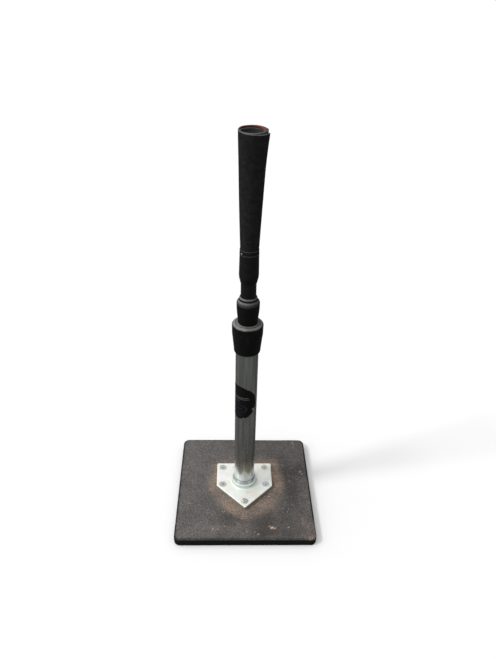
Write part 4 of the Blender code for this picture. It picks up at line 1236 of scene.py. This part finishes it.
def sleeve_solid():
    # (from, to, count) of the stations up the sleeve
    spans = (
        (SLEEVE_BOTTOM, 465.4, 10), (465.9, 469.4, 8), (470.6, 502.2, 22),
        (502.8, 506.2, 12), (507.0, SLEEVE_TOP, 9),
    )
    z = np.concatenate([np.linspace(*span) for span in spans])
    # Eased shoulder of the taper, then two raised ridges near the top.
    radius = sleeve_outer(z) - 0.35 * bell(z, SLEEVE_TAPER_TOP, 1.4)
    radius += 0.25 * bell(z, 504.4, 0.9) + 0.05 * bell(z, 511.8, 0.6)
    within = np.maximum(radius - 0.6, UPPER_R + 0.3)
    rows = spin(list(zip(radius, z)) + list(zip(within, z))[::-1], around(144))
    outer = rows[:, : len(z)]
    uneven = cloud(outer.reshape(-1, 3) * (1, 1, 0.45), 9.0, 33, 3).reshape(outer.shape[:2])
    shift = (0.16 * (uneven - 0.5) - 0.03) * smooth(SLEEVE_BOTTOM, 458.0, z)
    outer[..., :2] *= (1 + shift / radius)[..., None]
    made = Solid()
    made.grid(rows, close_rows=True, close_columns=True)
    return made


def paint_sleeve(points):
    """Dusting and painted highlights on the top edge and the ridge below it, brightest towards the
    left.
    """
    z = points[:, 2]
    outer = smooth(-0.45, -0.2, radius_of(points) - sleeve_outer(z))
    left = facing(azimuth_of(points), -40)
    # Painted highlight: the edge and the ridge are lightened most where they face the left.
    edge = smooth(511.3, 511.9, z) * (0.34 + 0.8 * left)
    ridge = bell(z, 504.8, 0.8) * (0.14 + 0.26 * left)
    mottle = 0.6 + 0.6 * cloud(points, 6.0, 19)
    return {"dust_and_light": np.clip((edge + ridge) * mottle * outer, 0, 1)}


# ---- the cone: one sheet rolled twice round; turns count from its free outer end ----
# Turns and height of the sheet's upper edge on the outer turn.
RIM_STEPS = (
    (0.0, 679.8), (0.18, 680.1), (0.27, 681.0), (0.5, 683.3), (0.64, 684.8), (0.77, 685.0),
    (1.0, 683.7),
)


def cone_share(z):
    return np.clip((np.asarray(z, float) - SLEEVE_TOP) / (CONE_TOP - SLEEVE_TOP), 0, 1)


def cone_lean(z):
    """How far the cone's centre is set over towards +X."""
    return 1.6 * cone_share(z) ** 2


def cone_mean(z):
    flare = np.clip((np.asarray(z, float) - 628.0) / (CONE_TOP - 628.0), 0, 1) ** 1.3
    return 14.0 + 6.1 * (1 - (1 - cone_share(z)) ** 1.2) + 0.75 * flare


def cone_outer(z, turn):
    z = np.asarray(z, float)
    lift = 1.9 * np.clip((z - 620.0) / (CONE_TOP - 620.0), 0, None) ** 2
    above = cone_mean(z) + 0.4 - 0.7 * turn + lift * np.exp(-5.0 * turn)
    under = sleeve_outer(np.minimum(z, SLEEVE_TOP)) - 0.95
    return under + (above - under) * smooth(SLEEVE_TOP - 0.4, SLEEVE_TOP + 1.2, z)


def cone_inner(z, turn):
    """Bore radius about the cone's centre; the opening is set over to the left."""
    share = np.clip((z - TUBE_END) / (CONE_TOP - TUBE_END), 0, 1)
    offset = 1.9 * share**2 * np.sin(FLAP_AZIMUTH - TAU * turn)
    return UPPER_R + 0.25 + 3.15 * share**0.9 - offset


def rim_height(turn):
    """The sheet's upper edge: uneven on the outer turn, level on the inner one."""
    turn = np.asarray(turn, float)
    height = np.full(turn.shape, RIM_STEPS[-1][1])
    for (start, low), (end, high) in reversed(list(zip(RIM_STEPS, RIM_STEPS[1:]))):
        step = low + (high - low) * smooth(start, end, turn)
        height = np.where(turn <= end, step, height)
    height = height - 2.2 * np.clip(1 - turn / 0.036, 0, 1) ** 1.6
    settled = height + (CONE_TOP - height) * smooth(1.0, 1.1, turn)
    return np.where(turn < 1.0, height, settled)


def turn_walls(turn, z):
    """Outer radius, thickness of the outer turn, gap under it and bore radius."""
    bore = cone_inner(z, turn)
    bore_wall = bore + 0.15 * (1 - smooth(0.0, 0.12, turn))
    outer = cone_outer(z, turn)
    open_share = 1 - smooth(0.04, 0.27, turn)
    gap = 0.06 + open_share * (0.10 + 0.42 * smooth(640.0, 682.0, z) ** 1.5)
    thin_end = outer - gap - cone_outer(z, 1.0)
    even = (outer - bore_wall - gap) / 2
    last = outer - bore - gap - 0.15
    first = thin_end + (even - thin_end) * smooth(0.0, 0.13, turn)
    first = first + (last - first) * smooth(0.66, 1.0, turn)
    return outer, first, gap, bore_wall


def sheet_radii(turn, z):
    """Outer and inner radius of the rolled sheet."""
    outer, first, gap, bore_wall = turn_walls(turn - 1.0 if turn > 1.0 else turn, z)
    if turn <= 1.0:
        return outer, outer - first
    return outer - first - gap, bore_wall


def sheet_crown(outer, inner, top):
    """The sheet's eased upper edge, from its outer to its inner face."""
    width = outer - inner
    ease = min(0.55, width * 0.3)
    z = top - ease
    crown = [on_circle((outer - ease, z), ease, degrees) for degrees in (20, 45, 70, 90)]
    crown += [(outer - ease - (width - 2 * ease) * share, top) for share in (0.35, 0.65)]
    return crown + [
        on_circle((inner + ease, z), ease, degrees) for degrees in (90, 110, 135, 160)
    ]


def cone_solid():
    ends = np.linspace(0.0, 0.02, 5)[:-1], np.linspace(1.985, 2.0, 5)[1:]
    turns = np.concatenate([ends[0], np.linspace(0.02, 1.985, 256), ends[1]])
    low = [
        *np.linspace(CONE_BOTTOM, SLEEVE_TOP - 0.5, 10),
        *np.linspace(SLEEVE_TOP - 0.2, SLEEVE_TOP + 1.4, 6),
    ]
    loops = []
    for turn in np.clip(turns, 0.0, 1.9996):
        top = float(rim_height(turn))
        body = np.linspace(SLEEVE_TOP + 2.5, top - 2.6, 66)
        z = np.concatenate([low, body, [top - 1.7, top - 0.9]])
        outer, inner = sheet_radii(turn, z)
        crown = sheet_crown(*map(float, sheet_radii(turn, top)), top)
        profile = np.array(list(zip(outer, z)) + crown + list(zip(inner, z))[::-1])
        radius, height = profile.T
        azimuth = FLAP_AZIMUTH - TAU * turn
        x = radius * math.sin(azimuth) + cone_lean(height)
        loops.append(np.column_stack([x, -radius * math.cos(azimuth), height]))
    made = Solid()
    index = made.grid(loops, close_columns=True)
    last = index.shape[1] - 1
    # Close the sheet's two ends with a ladder of quads from face to face.
    for row, way in ((index[0], 1), (index[-1], -1)):
        for k in range((last + 1) // 2 - 1):
            made.cap([row[k], row[k + 1], row[last - 1 - k], row[last - k]][::way])
    return made


def paint_cone(points):
    """A greyed rim, lightest to the left by painted light, clay on the rear outer edge and a paler
    bore.
    """
    z = points[:, 2]
    centred = points.copy()
    centred[:, 0] -= cone_lean(z)
    radius, azimuth = radius_of(centred), azimuth_of(centred)
    mid = cloud(points, 5.0, 63)
    turn = ((FLAP_AZIMUTH - azimuth) / TAU) % 1.0
    outer, first, gap, _ = turn_walls(turn, z)
    bore, edge_z = cone_inner(z, turn), rim_height(turn)
    outer_turn = radius > outer - first - gap / 2
    rim = smooth(-0.95, -0.35, z - np.where(outer_turn, edge_z, CONE_TOP))
    bare = (1 - outer_turn) * smooth(-0.9, 0.2, z - edge_z)
    rim = np.maximum(rim, 0.85 * bare * smooth(bore + 0.6, bore + 1.4, radius))
    # Painted light: the rim's grey is strongest where it faces the left.
    rim = rim * (0.34 + 0.82 * facing(azimuth, -75)) * (0.75 + 0.5 * mid)
    back_edge = smooth(math.radians(86), math.radians(102), np.abs(azimuth)) * outer_turn
    clay = back_edge * smooth(-2.0, -0.85, z - edge_z) * (0.70 + 0.5 * mid)
    unwrapped = np.where(azimuth > math.radians(165), azimuth - TAU, azimuth)
    hidden = (1 - outer_turn) * smooth(math.radians(-66), math.radians(-100), unwrapped)
    free_end = outer_turn * (1 - smooth(0.0, 0.035, turn))
    rim *= (1 - 0.80 * back_edge) * (1 - 0.3 * hidden) * (1 - 0.85 * free_end)
    inside = (1 - smooth(bore + 0.15, bore + 0.55, radius)) * smooth(600.0, 672.0, z)
    masks = {"rim": rim, "clay": clay, "inside": inside}
    return {key: np.clip(values, 0, 1) for key, values in masks.items()}


def rivet_solid():
    seat = float(sleeve_outer(RIVET_Z))
    # (radius, height above the sleeve)
    head = (
        (1.0, 0.22), (1.55, 0.22), (1.62, 0.36), (1.55, 0.62), (1.3, 0.86), (0.9, 1.02),
        (0.4, 1.1),
    )
    profile = [(1.0, 9.9)] + [(radius, seat + rise) for radius, rise in head]
    return radial_solid(profile, RIVET_AZIMUTH, RIVET_Z)


# ---- building the object ----
def build_base():
    clear = SCREW_R + SCREW_CLEAR
    hole = [(clear, -5.0), (clear, 40.0)]
    holes = [("DIFFERENCE", stacked(hole, 40, place)) for place in SCREW_XY]
    piece("base_cover", base_cover_solid(), "base", base_rubber(), 50.0, holes,
          paint_base)
    piece("base_pad", pad_solid(), "base", pad_rubber())
    piece("weight_plate", weight_solid(), "base", weight_steel(), 30.0, holes)

    plate, others = flange_solids()
    piece("stem_flange", plate, "base", flange_zinc(), 28.0, others)
    zinc = bright_zinc("bright_zinc_screws", (0.64, 0.69, 0.67), rough=(0.28, 0.46))
    for i, (x, y) in enumerate(SCREW_XY, 1):
        screw = screw_solid(x, y, math.radians(20 + 31 * i))
        piece(f"flange_screw_{i}", screw, "base", zinc, 40.0)
    piece("stem_ferrule", turned(ferrule_profile(), 192), "base",
          ferrule_zinc(), paint=paint_ferrule)


def build_lower_stage(collar, ring, nylon):
    piece("lower_tube", turned(lower_tube_profile(), 144), "base",
          galvanised(), paint=paint_tube)
    piece("stem_label", label_solid(), "base", label_film(), 50.0,
          paint=paint_label)
    piece("lower_collar", turned(lower_collar_profile(), 160), "base",
          collar, 50.0, paint=paint_lower_collar)
    liner = liner_profile(*LOWER_GAP, bottom=319.4, top=371.6)
    piece("lower_collar_liner", turned(liner, 96), "base", nylon)
    friction = rounded_ring(LOWER_GAP[0], 17.8, bottom=372.6, top=377.3, ease=0.7)
    piece("lower_friction_ring", turned(friction, 96), "base", ring)


def build_middle_stage(collar, ring, nylon, black):
    bush = bush_solid(*LOWER_GAP, bottom=48.5, top=110.0)
    piece("middle_guide_bush", bush, "middle_guide", nylon)
    tube = stage_profile(MIDDLE_R, MIDDLE_WALL, bottom=46.5, top=422.5, bead_z=110.5,
                         lip_rise=1.3, bead_rise=0.9)
    piece("middle_tube", turned(tube, 128), "middle_stage", black)
    piece("upper_collar", turned(upper_collar_profile(), 160), "middle_stage",
          collar, 55.0, paint=paint_upper_collar)
    liner = liner_profile(*UPPER_GAP, bottom=377.7, top=416.0)
    piece("upper_collar_liner", turned(liner, 96), "middle_stage", nylon)
    friction = rounded_ring(*UPPER_GAP, bottom=416.3, top=422.2, ease=0.35)
    piece("upper_friction_ring", turned(friction, 96), "middle_stage", ring)


def build_upper_stage(nylon, black):
    bush = bush_solid(*UPPER_GAP, bottom=110.0, top=168.6)
    piece("upper_guide_bush", bush, "upper_guide", nylon)
    cutter = radial_solid([(1.3, 5.0), (1.3, 25.0)], RIVET_AZIMUTH, RIVET_Z)
    rivet_hole = [("DIFFERENCE", cutter)]
    tube = stage_profile(UPPER_R, UPPER_WALL, bottom=108.0, top=530.0, bead_z=169.1,
                         lip_rise=0.8, bead_rise=0.7)
    piece("upper_tube", turned(tube, 128), "upper_stage", black,
          carved=rivet_hole)
    cap = [
        (10.0, 519.0), (10.6, 519.6), (10.8, 520.4), (10.8, 529.9), (11.0, 530.3),
        (11.8, 530.3), (12.1, 530.6), (12.1, 532.0), (11.8, 532.7), (11.1, 533.1),
        (8.0, 533.2), (7.6, 532.9), (4.0, 532.8), (1.5, 532.75),
    ]
    piece("upper_tube_cap", stacked(cap, 96), "upper_stage", nylon)
    shrink = soft_black("shrink_film", 0.0066, 0.0110, (0.14, 0.14, 0.14), rough=(0.50, 0.68),
                        specular=0.14, grain=0.8, relief=0.05)
    piece("cone_sleeve", sleeve_solid(), "upper_stage", shrink, 45.0,
          rivet_hole, paint_sleeve)
    zinc = bright_zinc("bright_zinc_rivet", (0.44, 0.45, 0.45), rough=(0.35, 0.50))
    piece("cone_rivet", rivet_solid(), "upper_stage", zinc, 50.0)
    piece("ball_rest_cone", cone_solid(), "upper_stage", cone_rubber(), 50.0,
          rivet_hole, paint_cone)


def build_object():
    collar = soft_black("collar_rubber", 0.0040, 0.0062, (0.228, 0.223, 0.215),
                        rough=(0.48, 0.66), specular=0.13)
    ring = soft_black("ring_rubber", 0.010, 0.014, rough=(0.6, 0.8))
    black = soft_black("black_tube", 0.0062, 0.0088, rough=(0.36, 0.50), specular=0.21,
                       grain=0.7, relief=0.03)
    nylon = black_nylon()
    build_base()
    build_lower_stage(collar, ring, nylon)
    build_middle_stage(collar, ring, nylon, black)
    build_upper_stage(nylon, black)


# ---- floor, light and camera ----
def build_floor():
    """A plain floor that looks brighter to the camera than the light it bounces."""
    seen_tone, bounce_tone, half = 0.868, 0.14, 60.0
    mesh = bpy.data.meshes.new("floor")
    corners = [(-half, -half, 0), (half, -half, 0), (half, half, 0), (-half, half, 0)]
    mesh.from_pydata(corners, [], [(0, 1, 2, 3)])
    floor = linked("floor", mesh)
    mat = new_material("floor")
    seen = mat.node("LightPath").outputs["Is Camera Ray"]
    tone = mat.mix(seen, (bounce_tone,) * 3, (seen_tone,) * 3)
    mesh.materials.append(mat.finish(mat.node("BsdfDiffuse", {"Color": tone}).outputs["BSDF"]))


def build_world():
    """A sky of two soft lobes over an even fill, behind a plain backdrop."""
    world = bpy.data.worlds.new("studio")
    bpy.context.scene.world = world
    graph = Graph(world)
    direction = graph.node("TexCoord").outputs["Generated"]

    def calculate(operation, first, second):
        return graph.node("Math", {0: first, 1: second}, operation=operation).outputs[0]

    def lobe(towards, sharpness, amount):
        inputs = {0: direction, 1: Vector(towards).normalized()}
        dot = graph.node("VectorMath", inputs, operation="DOT_PRODUCT").outputs["Value"]
        power = calculate("POWER", calculate("MAXIMUM", dot, 0.0), sharpness)
        return calculate("MULTIPLY", power, amount)

    left = lobe((-0.75, -0.08, 0.65), sharpness=2.0, amount=1.07)
    overhead = lobe((0.12, 0.0, 1.0), sharpness=1.5, amount=0.53)
    fill, sky_strength = 0.21, 1.06
    total = calculate("ADD", calculate("ADD", left, overhead), fill)
    strength = calculate("MULTIPLY", total, sky_strength)
    sky = graph.node("Background", {"Color": (1, 1, 1), "Strength": strength}).outputs[0]
    backdrop = graph.node("Background", {"Color": (0.985, 0.985, 0.985)}).outputs[0]
    seen = graph.node("LightPath").outputs["Is Camera Ray"]
    graph.node("OutputWorld", {"Surface": graph.mix_shader(seen, sky, backdrop)})


def build_sun():
    """A soft sun from the upper left."""
    sun = bpy.data.lights.new("sun", "SUN")
    sun.energy = 1.08
    sun.angle = math.radians(10.0)
    lamp = bpy.data.objects.new("sun", sun)
    lamp.rotation_mode = "QUATERNION"
    lamp.rotation_quaternion = Vector((1.0, 0.28, -1.10)).to_track_quat("-Z", "Y")
    lamp.location = (-2.0, -0.6, 2.4)
    bpy.context.scene.collection.objects.link(lamp)


def build_camera():
    """Yaw turns from +Y towards +X; pitch is downwards."""
    yaw, pitch, roll = math.radians(1.8123), math.radians(32.0136), math.radians(-1.3891)
    level = math.cos(pitch)
    forward = Vector((math.sin(yaw) * level, math.cos(yaw) * level, -math.sin(pitch)))
    right = forward.cross(Vector((0, 0, 1))).normalized()
    down = forward.cross(right)
    cosine, sine = math.cos(roll), math.sin(roll)
    right, down = cosine * right + sine * down, -sine * right + cosine * down
    data = bpy.data.cameras.new("camera")
    data.sensor_width = 36.0
    data.lens = 30.5388164
    data.clip_start, data.clip_end = 0.05, 200.0
    camera = bpy.data.objects.new("camera", data)
    place = (-0.023736, -0.769724, 0.851415)
    rows = [(right[k], -down[k], -forward[k], place[k]) for k in range(3)]
    camera.matrix_world = Matrix((*rows, (0, 0, 0, 1)))
    bpy.context.scene.collection.objects.link(camera)
    bpy.context.scene.camera = camera


build_object()
build_floor()
bpy.context.scene.view_settings.view_transform = "Standard"
build_world()
build_sun()
build_camera()
